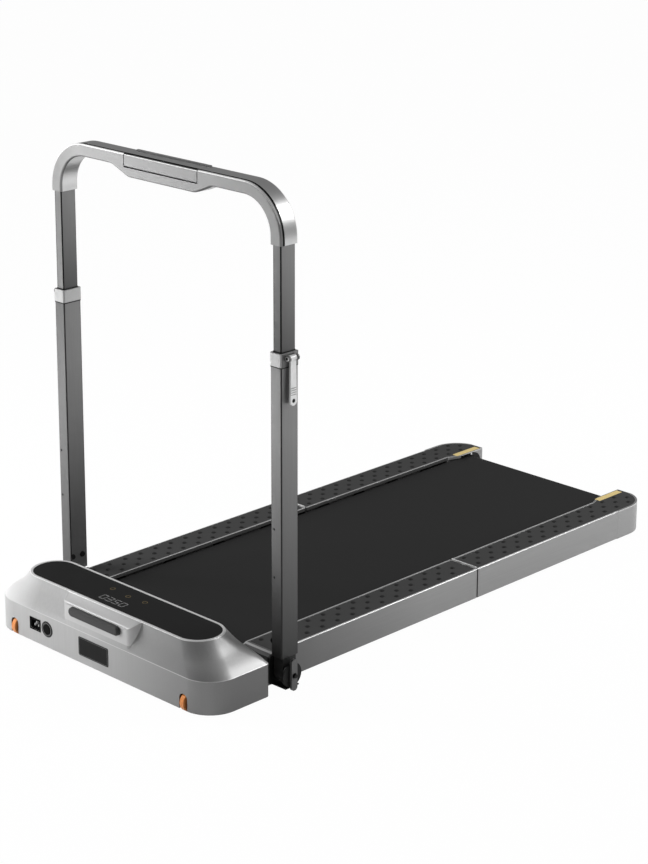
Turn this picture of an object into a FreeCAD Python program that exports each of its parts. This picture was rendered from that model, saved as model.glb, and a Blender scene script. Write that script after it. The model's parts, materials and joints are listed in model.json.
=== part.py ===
import FreeCAD, Part
import math
import os
from types import SimpleNamespace

import Sketcher

# A folding walking pad with a telescopic handrail.
# X runs across the pad, Y from the hood at the front to the tail roller, Z up from the floor.
document = FreeCAD.newDocument("walking_pad")

# Driving lengths in millimetres
lengths = {
    "overrun": 1,
    "running_gap": 0.05,
    "moving_gap": 0.3,
    "overall_length": 1463,
    "ground_gap": 9,
    # hood
    "hood_overhang": 35,
    "hood_tail": 38,
    "skirt_rise": 1,
    "hood_rise": 61.5,
    "hood_corner": 66,
    "hood_rear_corner": 10,
    "hood_wall": 3,
    "hood_roof": 6,
    "hood_back_lip": 5,
    "rim_side_inset": 64,
    "rim_setback": 28,
    "rim_back_inset": 31.3,
    "rim_width": 5,
    "display_thickness": 2.4,
    "display_sink": 0.6,
    "brow_half_width": 102,
    "brow_spread": 22,
    "brow_setback": 1,
    "brow_reach": 46,
    "brow_face_drop": 12,
    "brow_corner": 14,
    "grip_end_margin": 24,
    "grip_height": 20,
    "grip_drop": 24,
    "grip_proud": 8,
    "grip_seat": 4,
    "grip_round": 5,
    # power inlet and switch
    "socket_drop": 29.5,
    "inlet_inset": 144.5,
    "inlet_width": 30,
    "inlet_height": 22,
    "inlet_depth": 26,
    "inlet_wall": 2.5,
    "inlet_floor": 4,
    "blade_width": 2,
    "blade_height": 4.5,
    "blade_reach": 9,
    "blade_spread": 6,
    "blade_drop": 3,
    "switch_pitch": 39,
    "bezel_radius": 14.5,
    "bezel_wall": 2.7,
    "bezel_depth": 16,
    "bezel_proud": 1,
    "rocker_centre": 4,
    "rocker_proud": 1.6,
    "rocker_thickness": 8,
    "rocker_pin_radius": 1.6,
    "rocker_pin_reach": 1.5,
    # front chassis, wheels
    "tray_thickness": 2.5,
    "tray_tail": 44,
    "plate_thickness": 2.5,
    "plate_lead": 28,
    "plate_lap": 74,
    "plate_drop": 16,
    "wheel_inset": 75,
    "wheel_radius": 20,
    "wheel_width": 15,
    "wheel_proud": 5,
    "wheel_floor_gap": 3,
    "wheel_dish_radius": 13,
    "wheel_dish_depth": 3,
    "wheel_slot_gap": 4,
    "wheel_axle_radius": 4,
    "ear_thickness": 3,
    "ear_depth": 20,
    "ear_margin": 4,
    # motor and drive
    "motor_radius": 34,
    "motor_length": 152,
    "motor_front_gap": 26,
    "motor_roller_gap": 11.2,
    "motor_bed": 3.5,
    "motor_pulley_gap": 19,
    "motor_shaft_radius": 5,
    "cradle_margin": 18,
    "cradle_inset": 4,
    "cradle_drop": 20,
    "controller_length": 130,
    "controller_inset": 22,
    "controller_depth": 52,
    "controller_height": 35.5,
    "controller_fin_gap": 6,
    "controller_fin_depth": 8,
    "pulley_offset": 5,
    "pulley_width": 16,
    "pulley_lip": 2,
    "motor_pulley_radius": 11,
    "roller_pulley_radius": 27.5,
    "pulley_belt_thickness": 2.4,
    "bearing_width": 8,
    "bearing_size": 32,
    "roller_overhang": 4,
    "roller_shaft_radius": 8.5,
    # walking belt, deck and rollers
    "deck_half_width": 222,
    "belt_margin": 2,
    "belt_thickness": 1.8,
    "belt_bend": 21,
    "belt_tray_gap": 11.9,
    "belt_lip_gap": 1.5,
    "belt_seam_gap": 0.4,
    "deck_gap": 0.2,
    "deck_thickness": 12,
    "deck_seam_gap": 4,
    "deck_roller_gap": 32,
    "tail_axis_inset": 53,
    "tail_axle_radius": 6,
    "tail_axle_reach": 34,
    # side rails
    "deck_side_gap": 4,
    "rail_width": 79,
    "rail_shelf": 36,
    "rail_wall": 2.5,
    "rail_flange": 3,
    "rail_lip_depth": 7.5,
    "rail_corner": 4,
    "rail_foot_corner": 2.5,
    "nose_length": 14,
    "nose_drop": 6,
    "rail_front_gap": 28,
    "front_half_length": 834,
    "cap_length": 120,
    "cap_overhang": 13,
    "cap_step_start": 4,
    "cap_step_length": 34,
    "cap_step_round": 24,
    "cap_inner_corner": 6.5,
    "cap_corner": 72,
    "cap_foot_corner": 45,
    "cap_wall": 3,
    "cap_roof": 5,
    "cap_lobe": 3.5,
    "axle_boss_depth": 40,
    "tread_inset": 5,
    "tread_sink": 1.2,
    "tread_end_gap": 2,
    "tread_corner": 5,
    "stud_radius": 5,
    "stud_height": 1.2,
    "stud_pitch": 45,
    "stud_row_inset": 16,
    "stud_row_gap": 21,
    # frame under the deck
    "member_width": 30,
    "member_belt_gap": 2.8,
    "member_wall": 2,
    "member_seam_gap": 96,
    "member_drive_gap": 160,
    "member_tail_gap": 112,
    "cushion_across": 160,
    "cushion_length": 60,
    "cushion_height": 4,
    "pan_rise": 2,
    "pan_thickness": 1.5,
    "foot_radius": 8.5,
    "foot_front_start": 76,
    "foot_seam_start": 50,
    # fold hinge on the rails
    "hinge_rise": 2,
    "hinge_radius": 1.8,
    "hinge_gap": 0.3,
    "hinge_pin_radius": 0.9,
    "hinge_leaf": 1.6,
    "hinge_leaf_height": 26.7,
    "hinge_inset": 4,
    "knuckle_gap": 0.3,
    # handrail posts and their feet
    "post_width": 30,
    "post_depth": 46,
    "post_corner": 2.5,
    "post_wall": 2,
    "post_gap": 52.8,
    "post_foot_gap": 2,
    "post_length": 608,
    "pivot_height": 40,
    "pivot_radius": 6,
    "pivot_head_radius": 9,
    "pivot_head_thickness": 4.2,
    "tongue_margin": 3,
    "tongue_insert": 52,
    "bracket_inner_thickness": 6,
    "bracket_inner_gap": 1.5,
    "bracket_outer_gap": 1.5,
    "bracket_outer_thickness": 5,
    "bracket_disc_radius": 26,
    "bracket_drop": 27,
    "bracket_rise": 36,
    "bracket_floor": 3,
    "bracket_half_depth": 27,
    "bracket_corner": 8,
    "lock_gap": 0.5,
    "lock_thickness": 6,
    "lock_half_depth": 8,
    "lock_drop": 32,
    "lock_rise": 35,
    # telescopic part
    "collar_height": 27,
    "collar_margin": 1.5,
    "collar_corner": 4.5,
    "slide_clearance": 1.75,
    "inner_corner": 2.2,
    "inner_wall": 1.8,
    "inner_overlap": 206,
    "inner_shown": 214,
    "inner_slide_gap": 0.3,
    "clamp_axis_out": 9,
    "clamp_axis_drop": 9,
    "clamp_radius": 6,
    "clamp_width": 18,
    "clamp_ear": 4,
    "clamp_pin_radius": 2.5,
    "clamp_length": 96,
    "clamp_thickness": 4.5,
    "clamp_tip_out": 7,
    "clamp_hole_radius": 4.2,
    "clamp_hole_rise": 9.6,
    # top bar
    "sleeve_wall": 4.25,
    "sleeve_length": 9,
    "sleeve_insert": 32,
    "bar_front_height": 27,
    "bar_bend": 104,
    "bar_edge": 5,
    "bulge_half_width": 100,
    "bulge_spread": 50,
    "bulge_drop": 21,
    "bulge_round": 40,
    "flap_half_width": 110,
    "flap_height": 28,
    "flap_thickness": 5,
    "flap_pin_radius": 1.2,
    "flap_pin_reach": 6,
    "ledge_height": 3,
    "ledge_depth": 5.5,
    "ledge_inset": 6,
}

# Counts
stud_rows = 3
member_count = 4
knuckle_count = 5

# Shares chosen by hand: the hood's flare from skirt to rim, and how round the rim's ends are.
flare_height_shares = (0, 0.1, 0.25, 0.42, 0.61, 0.8, 1)
flare_inset_shares = (0, 0.09, 0.25, 0.47, 0.69, 0.85, 1)
rim_round_share = 0.495
slot_round_share = 0.9
lever_tip_share = 0.5
hexagon_side_share = math.sqrt(3) / 2
hexagon_half_share = 0.5


class Size:
    """A length as an expression on the sheet of sizes, with its value."""

    def __init__(self, text, value):
        self.text = text
        self.value = value

    def __add__(self, other):
        other = as_size(other)
        return Size(f"({self.text} + {other.text})", self.value + other.value)

    def __sub__(self, other):
        other = as_size(other)
        return Size(f"({self.text} - {other.text})", self.value - other.value)

    def __rsub__(self, other):
        return as_size(other) - self

    def __mul__(self, share):
        return Size(f"({self.text} * {share})", self.value * share)

    def __truediv__(self, count):
        return Size(f"({self.text} / {count})", self.value / count)

    def __neg__(self):
        return Size(f"(0 - {self.text})", -self.value)

    __radd__ = __add__
    __rmul__ = __mul__


def as_size(number):
    """Plain numbers take part in sums of sizes too."""
    return number if isinstance(number, Size) else Size(str(number), number)


sheet = document.addObject("Spreadsheet::Sheet", "sizes")
size = SimpleNamespace()
for row, (name, length) in enumerate(lengths.items(), start=1):
    sheet.set(f"A{row}", str(length))
    sheet.setAlias(f"A{row}", name)
    setattr(size, name, Size(f"sizes.{name}", length))
document.recompute()

sub_parts = []


def keep(item):
    """Count an object as a finished sub-part of the pad."""
    sub_parts.append(item)
    return item


def bind(item, name, length):
    item.setExpression(name, as_size(length).text)


def place(item, x, y, z):
    for axis, length in zip("xyz", (x, y, z)):
        bind(item, f"Placement.Base.{axis}", length)


def box(name, x, y, z):
    """A block between pairs of low and high limits."""
    item = document.addObject("Part::Box", name)
    for side, (low, high) in zip(("Length", "Width", "Height"), (x, y, z)):
        bind(item, side, high - low)
    place(item, x[0], y[0], z[0])
    return item


def rod(name, radius, x, y, z):
    """A round bar along the one axis that has a pair of limits."""
    item = document.addObject("Part::Cylinder", name)
    limits = (x, y, z)
    axis = [isinstance(limit, tuple) for limit in limits].index(True)
    direction = FreeCAD.Vector(*(float(index == axis) for index in range(3)))
    item.Placement = FreeCAD.Placement(FreeCAD.Vector(), FreeCAD.Rotation(FreeCAD.Vector(0, 0, 1), direction))
    bind(item, "Radius", radius)
    bind(item, "Height", limits[axis][1] - limits[axis][0])
    place(item, *(limit[0] if isinstance(limit, tuple) else limit for limit in limits))
    return item


def join(name, *items):
    item = document.addObject("Part::MultiFuse", name)
    item.Shapes = list(items)
    return item


def cut(name, base, *tools):
    item = document.addObject("Part::Cut", name)
    item.Base = base
    item.Tool = tools[0] if len(tools) == 1 else join(name + "_tools", *tools)
    return item


def group(name, *items):
    item = document.addObject("Part::Compound", name)
    item.Links = list(items)
    return item


def mirror(name, item):
    """The same piece on the other side of the pad."""
    other = document.addObject("Part::Mirroring", name)
    other.Source = item
    other.Normal = FreeCAD.Vector(1, 0, 0)
    return other


def pair(name, item):
    """A piece and its mirror image as one node."""
    return group(name, item, mirror(name + "_other", item))


def draw(sketch, outline):
    """Draw a closed outline of corners, each (across, along, radius), with every size bound."""
    sizes = [tuple(as_size(length) for length in corner) for corner in outline]
    points = [FreeCAD.Vector(across.value, along.value, 0) for across, along, radius in sizes]
    count = len(points)
    starts = []
    finishes = []
    arcs = []
    for index, (across, along, radius) in enumerate(sizes):
        corner = points[index]
        arrive = (points[index - 1] - corner).normalize()
        leave = (points[(index + 1) % count] - corner).normalize()
        half_angle = arrive.getAngle(leave) / 2
        reach = radius.value / math.tan(half_angle)
        starts.append(corner + arrive * reach)
        finishes.append(corner + leave * reach)
        if radius.value == 0:
            arcs.append(None)
            continue
        centre = corner + (arrive + leave).normalize() * (radius.value / math.sin(half_angle))
        left_turn = arrive.cross(leave).z < 0
        ends = (starts[-1], finishes[-1]) if left_turn else (finishes[-1], starts[-1])
        angles = [math.atan2(end.y - centre.y, end.x - centre.x) for end in ends]
        circle = Part.Circle(centre, FreeCAD.Vector(0, 0, 1), radius.value)
        arcs.append((Part.ArcOfCircle(circle, *angles), left_turn))
    corners = sketch.addGeometry([Part.Point(point) for point in points], True)
    lines = sketch.addGeometry(
        [Part.LineSegment(finishes[index], starts[(index + 1) % count]) for index in range(count)], False)
    rules = []
    bound = []
    for index, (across, along, radius) in enumerate(sizes):
        corner, before, after = corners[index], lines[index - 1], lines[index]
        bound += [(len(rules), across), (len(rules) + 1, along)]
        rules.append(Sketcher.Constraint("DistanceX", -1, 1, corner, 1, across.value))
        rules.append(Sketcher.Constraint("DistanceY", -1, 1, corner, 1, along.value))
        if arcs[index] is None:
            rules.append(Sketcher.Constraint("Coincident", before, 2, corner, 1))
            rules.append(Sketcher.Constraint("Coincident", after, 1, corner, 1))
            continue
        curve, left_turn = arcs[index]
        arc = sketch.addGeometry(curve, False)
        first, last = (1, 2) if left_turn else (2, 1)
        rules.append(Sketcher.Constraint("PointOnObject", corner, 1, before))
        rules.append(Sketcher.Constraint("PointOnObject", corner, 1, after))
        rules.append(Sketcher.Constraint("Tangent", before, 2, arc, first))
        rules.append(Sketcher.Constraint("Tangent", after, 1, arc, last))
        bound.append((len(rules), radius))
        rules.append(Sketcher.Constraint("Radius", arc, radius.value))
    numbers = sketch.addConstraint(rules)
    for rule, length in bound:
        sketch.setExpression(f"Constraints[{numbers[rule]}]", length.text)


planes = {"x": "YZ_Plane", "y": "XZ_Plane", "z": "XY_Plane"}


def sketch_in(body, name, axis, outlines, offset):
    """A sketch square to an axis of its body, at an offset along the sketch's own normal."""
    sketch = body.newObject("Sketcher::SketchObject", name)
    plane = next(item for item in body.Origin.OriginFeatures if item.Role == planes[axis])
    sketch.AttachmentSupport = [(plane, "")]
    sketch.MapMode = "FlatFace"
    bind(sketch, "AttachmentOffset.Base.z", offset)
    for outline in outlines:
        draw(sketch, outline)
    return sketch


def pad(body, name, sketch, length):
    feature = body.newObject("PartDesign::Pad", name)
    feature.Profile = sketch
    bind(feature, "Length", length)
    body.Tip = feature
    return feature


def profile(name, axis, outlines, low, high):
    """A body of constant section along one axis, from low to high."""
    body = document.addObject("PartDesign::Body", name)
    offset = -high if axis == "y" else low
    sketch = sketch_in(body, name + "_outline", axis, outlines, offset)
    pad(body, name + "_pad", sketch, high - low)
    return body


def soften(body, name, radius, chosen):
    """Round the edges of a body that a rule picks out."""
    document.recompute()
    blank = body.Tip
    names = [f"Edge{number}" for number, edge in enumerate(blank.Shape.Edges, start=1) if chosen(edge)]
    feature = body.newObject("PartDesign::Fillet", name)
    feature.Base = (blank, names)
    bind(feature, "Radius", radius)
    body.Tip = feature
    return body


def rounded(x, y, radius):
    """The corners of a rounded rectangle between pairs of limits."""
    return [(x[0], y[0], radius), (x[1], y[0], radius), (x[1], y[1], radius), (x[0], y[1], radius)]


def both_ways(half):
    return (-half, half)


def around(middle, whole):
    return (middle - whole / 2, middle + whole / 2)


# Upwards from the floor: the tray, the belt round its rollers, the rails, then the hood
tray_top = size.ground_gap + size.tray_thickness
belt_outer = size.belt_bend + size.belt_thickness
roller_z = tray_top + size.belt_tray_gap + belt_outer
belt_top = roller_z + belt_outer
rail_top = belt_top + size.belt_lip_gap + size.rail_lip_depth
skirt_top = rail_top + size.skirt_rise
hood_top = skirt_top + size.hood_rise

# Along the pad: the hood is as deep as the drive it covers, and the rear half takes what is left
hood_front = size.grip_proud - size.overall_length / 2
rear_end = size.overall_length / 2
motor_y = hood_front + size.motor_front_gap + size.motor_radius
drive_front = motor_y + size.motor_radius + size.motor_roller_gap
drive_y = drive_front + belt_outer
tail_y = rear_end - size.tail_axis_inset
hood_back = drive_y + size.hood_tail
hood_depth = hood_back - hood_front
rim_depth = hood_depth - size.rim_setback - size.rim_back_inset
seam = hood_front + size.front_half_length
seam_gap = size.hinge_radius + size.hinge_gap
front_rail_start = hood_back + size.rail_front_gap
front_rail_end = seam - seam_gap
rear_rail_start = seam + seam_gap
cap_start = rear_end - size.cap_length
post_y = hood_back + size.post_gap

# Across the pad, from the deck outwards
belt_half_width = size.deck_half_width - size.belt_margin
roller_half = size.deck_half_width + size.roller_overhang
rail_inner = size.deck_half_width + size.deck_side_gap
rail_web = rail_inner + size.rail_shelf
rail_outer = rail_inner + size.rail_width
cap_inner = rail_inner - size.cap_overhang
hood_half = rail_outer + size.hood_overhang
rim_half = hood_half - size.rim_side_inset
wheel_across = hood_half - size.wheel_inset
inlet_across = hood_half - size.inlet_inset
switch_across = inlet_across - size.switch_pitch
post_across = rail_outer + size.bracket_inner_thickness + size.bracket_inner_gap + size.post_width / 2


# Hood: a moulded shell with a straight skirt, a flare up to the rim and a brow at the front
def hood_plan(inset, share):
    """The hood's outline in plan at a share of the way in from skirt to rim."""
    half = hood_half + (rim_half - hood_half) * share - inset
    front = hood_front + size.rim_setback * share + inset
    back = hood_back - size.rim_back_inset * share - inset
    rim_round = rim_depth * rim_round_share
    front_round = size.hood_corner + (rim_round - size.hood_corner) * share - inset
    back_round = size.hood_rear_corner + (rim_round - size.hood_rear_corner) * share - inset
    return [(-half, front, front_round), (half, front, front_round), (half, back, back_round),
            (-half, back, back_round)]


def hood_form(name, inset, top):
    """Skirt and flare of the hood, drawn in by an inset and up to a given top."""
    floor = size.ground_gap - (0 if inset == 0 else size.overrun)
    skirt = profile(name + "_skirt", "z", [hood_plan(inset, 0)], floor, skirt_top)
    sections = []
    for number, (rise, share) in enumerate(zip(flare_height_shares, flare_inset_shares), start=1):
        section = document.addObject("Sketcher::SketchObject", f"{name}_section_{number}")
        draw(section, hood_plan(inset, share))
        bind(section, "Placement.Base.z", skirt_top + (top - skirt_top) * rise)
        sections.append(section)
    flare = document.addObject("Part::Loft", name + "_flare")
    flare.Sections = sections
    flare.Solid = True
    return join(name, skirt, flare)


hood_outer = hood_form("hood_outer", 0, hood_top)
hood_inner = hood_form("hood_inner", size.hood_wall, hood_top - size.hood_roof)
hood_face = hood_front + size.brow_setback
brow_back = hood_front + size.brow_reach
brow_rim = hood_front + size.rim_setback
brow_floor = skirt_top - size.hood_wall


def brow_form(name, inset, front, drop):
    """The brow's block, drawn in at its sides, front and top, up to the rim behind it."""
    half = size.brow_half_width - inset
    wide = half + size.brow_spread
    floor = brow_floor - (0 if inset == 0 else size.overrun)
    plan = profile(name + "_plan", "z", [[
        (-half, front, size.brow_corner), (half, front, size.brow_corner), (wide, brow_back, 0),
        (-wide, brow_back, 0)]], floor, hood_top)
    top = hood_top - size.display_sink - drop
    side = profile(name + "_side", "x", [[
        (front, floor, 0), (brow_back, floor, 0), (brow_back, top, 0), (brow_rim, top, 0),
        (front, hood_top - size.brow_face_drop - drop, size.brow_corner / 2)]], -wide, wide)
    form = document.addObject("Part::Common", name)
    form.Base = plan
    form.Tool = side
    return form


brow = brow_form("brow", 0, hood_face, 0)
brow_space = brow_form(
    "brow_space", size.hood_wall, hood_face + size.grip_seat + size.hood_wall, size.hood_roof)

panel_half = rim_half - size.rim_width
panel_y = (hood_front + size.rim_setback + size.rim_width,
           hood_front + size.rim_setback + rim_depth - size.rim_width)
panel_round = (rim_depth - 2 * size.rim_width) * rim_round_share
panel_outline = rounded(both_ways(panel_half), panel_y, panel_round)
panel_top = hood_top - size.display_sink
panel_floor = panel_top - size.display_thickness
panel_recess = profile("panel_recess", "z", [panel_outline], panel_floor, hood_top + size.overrun)
back_opening = box(
    "back_opening", both_ways(rail_web + size.overrun),
    (hood_back - size.hood_wall - size.overrun, hood_back + size.overrun),
    (size.ground_gap - size.overrun, skirt_top - size.hood_back_lip))
wheel_slot_half = size.wheel_width / 2 + size.wheel_slot_gap
wheel_y = hood_front + size.wheel_radius - size.wheel_proud
wheel_z = size.wheel_floor_gap + size.wheel_radius
wheel_slots = []
for side, sign in (("left", -1), ("right", 1)):
    wheel_slots.append(profile(
        f"wheel_slot_{side}", "y", [rounded(
            around(wheel_across * sign, 2 * wheel_slot_half),
            (size.ground_gap - size.wheel_radius, wheel_z + size.wheel_radius),
            wheel_slot_half * slot_round_share)],
        hood_front - size.overrun, wheel_y))
socket_z = skirt_top - size.socket_drop
inlet_x = around(-inlet_across, size.inlet_width)
inlet_z = around(socket_z, size.inlet_height)
inlet_y = (hood_front, hood_front + size.inlet_depth)
through_skin = (hood_front - size.overrun, hood_front + size.hood_wall + size.overrun)
inlet_hole = box("inlet_hole", inlet_x, through_skin, inlet_z)
switch_hole = rod("switch_hole", size.bezel_radius, -switch_across, through_skin, socket_z)
grip_y = (hood_front - size.grip_proud, hood_face + size.grip_seat)
grip_x = both_ways(size.brow_half_width - size.grip_end_margin)
grip_z = around(hood_top - size.grip_drop, size.grip_height)
grip_outline = rounded(grip_x, grip_z, size.grip_height * rim_round_share)
grip_pocket = profile("grip_pocket", "y", [grip_outline], *grip_y)
keep(cut("hood_shell", join("hood_and_brow", hood_outer, brow), hood_inner, brow_space, panel_recess,
         back_opening, *wheel_slots, inlet_hole, switch_hole, grip_pocket))
keep(profile("display_panel", "z", [panel_outline], panel_floor, panel_top))


def on_plane(axis, station):
    """A rule for edges that lie wholly in a plane square to an axis."""
    def chosen(edge):
        gaps = [abs(getattr(point, axis) - station.value) for point in edge.discretize(3)]
        return max(gaps) < Part.Precision.approximation()
    return chosen


grip_bar = profile("grip_bar", "y", [grip_outline], *grip_y)
keep(soften(grip_bar, "grip_round_edge", size.grip_round, on_plane("y", grip_y[0])))

# Power inlet, its pins, and the round rocker switch beside it
inlet_cavity = box(
    "inlet_cavity", (inlet_x[0] + size.inlet_wall, inlet_x[1] - size.inlet_wall),
    (inlet_y[0] - size.overrun, inlet_y[1] - size.inlet_floor),
    (inlet_z[0] + size.inlet_wall, inlet_z[1] - size.inlet_wall))
keep(cut("power_inlet", box("inlet_body", inlet_x, inlet_y, inlet_z), inlet_cavity))
blade_y = (inlet_y[1] - size.inlet_floor - size.blade_reach, inlet_y[1] - size.inlet_floor)
blades = []
for number, (shift, drop) in enumerate(((-1, -1), (0, 1), (1, -1)), start=1):
    blades.append(box(
        f"inlet_blade_{number}", around(-inlet_across + size.blade_spread * shift, size.blade_width), blade_y,
        around(socket_z + size.blade_drop * drop, size.blade_height)))
keep(group("inlet_pins", *blades))
bezel_y = (hood_front - size.bezel_proud, hood_front + size.bezel_depth)
bezel_bore = size.bezel_radius - size.bezel_wall
bezel_hole = rod(
    "bezel_hole", bezel_bore, -switch_across,
    (bezel_y[0] - size.overrun, bezel_y[1] - size.bezel_wall), socket_z)
rocker_y = hood_front + size.rocker_centre
rocker_pin_half = bezel_bore + size.rocker_pin_reach
pin_seat = rod(
    "rocker_pin_seat", size.rocker_pin_radius + size.running_gap,
    around(-switch_across, 2 * (rocker_pin_half + size.running_gap)), rocker_y, socket_z)
keep(cut("switch_bezel", rod("bezel_body", size.bezel_radius, -switch_across, bezel_y, socket_z),
         bezel_hole, pin_seat))
rocker_ball = document.addObject("Part::Sphere", "rocker_ball")
rocker_radius = bezel_bore - size.moving_gap
bind(rocker_ball, "Radius", rocker_radius)
place(rocker_ball, -switch_across, rocker_y, socket_z)
rocker_face = hood_front - size.rocker_proud
rocker_slab = box(
    "rocker_slab", around(-switch_across, 2 * size.bezel_radius),
    (rocker_face, rocker_face + size.rocker_thickness), around(socket_z, 2 * size.bezel_radius))
rocker_cap = document.addObject("Part::Common", "rocker_cap")
rocker_cap.Base = rocker_ball
rocker_cap.Tool = rocker_slab
keep(join("power_rocker", rocker_cap, rod(
    "rocker_pin", size.rocker_pin_radius, around(-switch_across, 2 * rocker_pin_half), rocker_y, socket_z)))

# Chassis tray under the hood, with the side plates that tie it to the rails
tray_inset = size.hood_wall + size.moving_gap
tray_half = hood_half - tray_inset
tray_corner = size.hood_corner - tray_inset
tray_rear_corner = size.hood_rear_corner - tray_inset
tray_front = hood_front + tray_inset
tray_back = hood_back + size.tray_tail
tray_inner = rail_web - size.moving_gap
tray_step = hood_back - tray_inset
tray_sheet = profile("tray_sheet", "z", [[
    (-tray_half, tray_front, tray_corner), (tray_half, tray_front, tray_corner),
    (tray_half, tray_step, tray_rear_corner), (tray_inner, tray_step, 0), (tray_inner, tray_back, 0),
    (-tray_inner, tray_back, 0), (-tray_inner, tray_step, 0), (-tray_half, tray_step, tray_rear_corner)]],
    size.ground_gap, tray_top)
plate_inner = rail_web - size.plate_thickness
plate_y = (drive_y - size.plate_lead, front_rail_start + size.plate_lap)
plate_z = (size.ground_gap, rail_top - size.plate_drop)
tray_plate = box("tray_plate", (plate_inner, rail_web), plate_y, plate_z)
wheel_well_y = (tray_front - size.overrun, wheel_y + size.wheel_radius + size.wheel_slot_gap)
wheel_well = box("wheel_well", around(wheel_across, 2 * wheel_slot_half), wheel_well_y,
                 (size.ground_gap - size.overrun, tray_top + size.overrun))
tray_pressing = cut(
    "tray_pressing", join("tray_and_plates", tray_sheet, tray_plate, mirror("tray_plate_left", tray_plate)),
    wheel_well, mirror("wheel_well_left", wheel_well))

# Transport wheels on short axles between ears that are welded to the tray
ear_inner = (wheel_across - wheel_slot_half - size.ear_thickness, wheel_across - wheel_slot_half)
ear_outer = (wheel_across + wheel_slot_half, wheel_across + wheel_slot_half + size.ear_thickness)
ear_y = around(wheel_y + size.wheel_slot_gap, size.ear_depth)
ear_z = (tray_top, wheel_z + size.wheel_axle_radius + size.ear_margin)
axle_x = (ear_inner[0], ear_outer[1])
axle_hole = rod("axle_hole", size.wheel_axle_radius, axle_x, wheel_y, wheel_z)
ears = cut("wheel_ears_right", group("ear_blanks", box("ear_inner", ear_inner, ear_y, ear_z),
                                     box("ear_outer", ear_outer, ear_y, ear_z)), axle_hole)
keep(join("chassis_tray", tray_pressing, ears, mirror("wheel_ears_left", ears)))
keep(pair("wheel_axles", rod("wheel_axle_right", size.wheel_axle_radius, axle_x, wheel_y,
                             wheel_z)))
wheel_half = size.wheel_width / 2
wheel_x = (wheel_across - wheel_half, wheel_across + wheel_half)
hub_gap = wheel_slot_half - wheel_half - size.moving_gap
wheel_disc = rod("wheel_disc", size.wheel_radius, wheel_x, wheel_y, wheel_z)
wheel_dishes = []
for name, low, high in (("wheel_dish_inner", wheel_x[0] - size.overrun, wheel_x[0] + size.wheel_dish_depth),
                        ("wheel_dish_outer", wheel_x[1] - size.wheel_dish_depth, wheel_x[1] + size.overrun)):
    wheel_dishes.append(rod(name, size.wheel_dish_radius, (low, high), wheel_y, wheel_z))
wheel_hub = rod("wheel_hub", size.wheel_axle_radius + size.wheel_dish_depth,
                (wheel_x[0] - hub_gap, wheel_x[1] + hub_gap), wheel_y, wheel_z)
wheel_bore = rod("wheel_bore", size.wheel_axle_radius + size.running_gap,
                 (axle_x[0], axle_x[1]), wheel_y, wheel_z)
wheel_body = join("wheel_body", cut("wheel_rim", wheel_disc, *wheel_dishes), wheel_hub)
wheel_right = keep(cut("wheel_right", wheel_body, wheel_bore))
keep(mirror("wheel_left", wheel_right))

# Motor in its cradle, the controller, and the ribbed belt drive to the front roller
roller_radius = size.belt_bend - size.moving_gap
pulley_inner = roller_half + size.pulley_offset
motor_outer = pulley_inner - size.motor_pulley_gap
motor_x = (motor_outer - size.motor_length, motor_outer)
motor_z = tray_top + size.motor_bed + size.motor_radius
motor_body = rod("motor_body", size.motor_radius, motor_x, motor_y, motor_z)
motor_bore = rod("motor_bore", size.motor_shaft_radius + size.running_gap,
                 (motor_x[0] - size.overrun, motor_x[1] + size.overrun), motor_y, motor_z)
keep(cut("motor_can", motor_body, motor_bore))
cradle_x = (motor_x[0] + size.cradle_margin, motor_x[1] - size.cradle_margin)
cradle_block = box("cradle_block", cradle_x, around(motor_y, 2 * (size.motor_radius - size.cradle_inset)),
                   (tray_top, motor_z - size.cradle_drop))
cradle_bed = rod("cradle_bed", size.motor_radius, (cradle_x[0] - size.overrun, cradle_x[1] + size.overrun),
                 motor_y, motor_z)
keep(cut("motor_cradle", cradle_block, cradle_bed))
pulley_x = (pulley_inner, pulley_inner + size.pulley_width)
shaft_x = (motor_x[0] + size.cradle_margin, pulley_x[1])
keep(rod("motor_shaft", size.motor_shaft_radius, shaft_x, motor_y, motor_z))


def pulley(name, radius, bore, y, z):
    """A flanged belt pulley on a shaft along X."""
    lips = []
    for number, (low, high) in enumerate(((pulley_x[0], pulley_x[0] + size.pulley_lip),
                                          (pulley_x[1] - size.pulley_lip, pulley_x[1])), start=1):
        lips.append(rod(f"{name}_lip_{number}", radius + size.pulley_belt_thickness, (low, high), y, z))
    drum = join(name + "_drum", rod(name + "_core", radius, pulley_x, y, z), *lips)
    bore_x = (pulley_x[0] - size.overrun, pulley_x[1] + size.overrun)
    return cut(name, drum, rod(name + "_bore", bore, bore_x, y, z))


keep(pulley("motor_pulley", size.motor_pulley_radius, size.motor_shaft_radius, motor_y, motor_z))
controller_outer = size.controller_inset - rail_web
controller_x = (controller_outer, controller_outer + size.controller_length)
controller_rear = drive_front - size.motor_roller_gap
controller_y = (controller_rear - size.controller_depth, controller_rear)
controller_top = tray_top + size.controller_height
controller_body = box("controller_body", controller_x, controller_y, (tray_top, controller_top))
slots = []
slot_count = int(size.controller_length.value / (2 * size.controller_fin_gap).value) - 1
for number in range(1, slot_count + 1):
    slot_middle = controller_x[0] + 2 * size.controller_fin_gap * number
    slots.append(box(
        f"controller_slot_{number}", around(slot_middle, size.controller_fin_gap),
        (controller_y[0] - size.overrun, controller_y[1] + size.overrun),
        (controller_top - size.controller_fin_depth, controller_top + size.overrun)))
keep(cut("motor_controller", controller_body, *slots))

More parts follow.
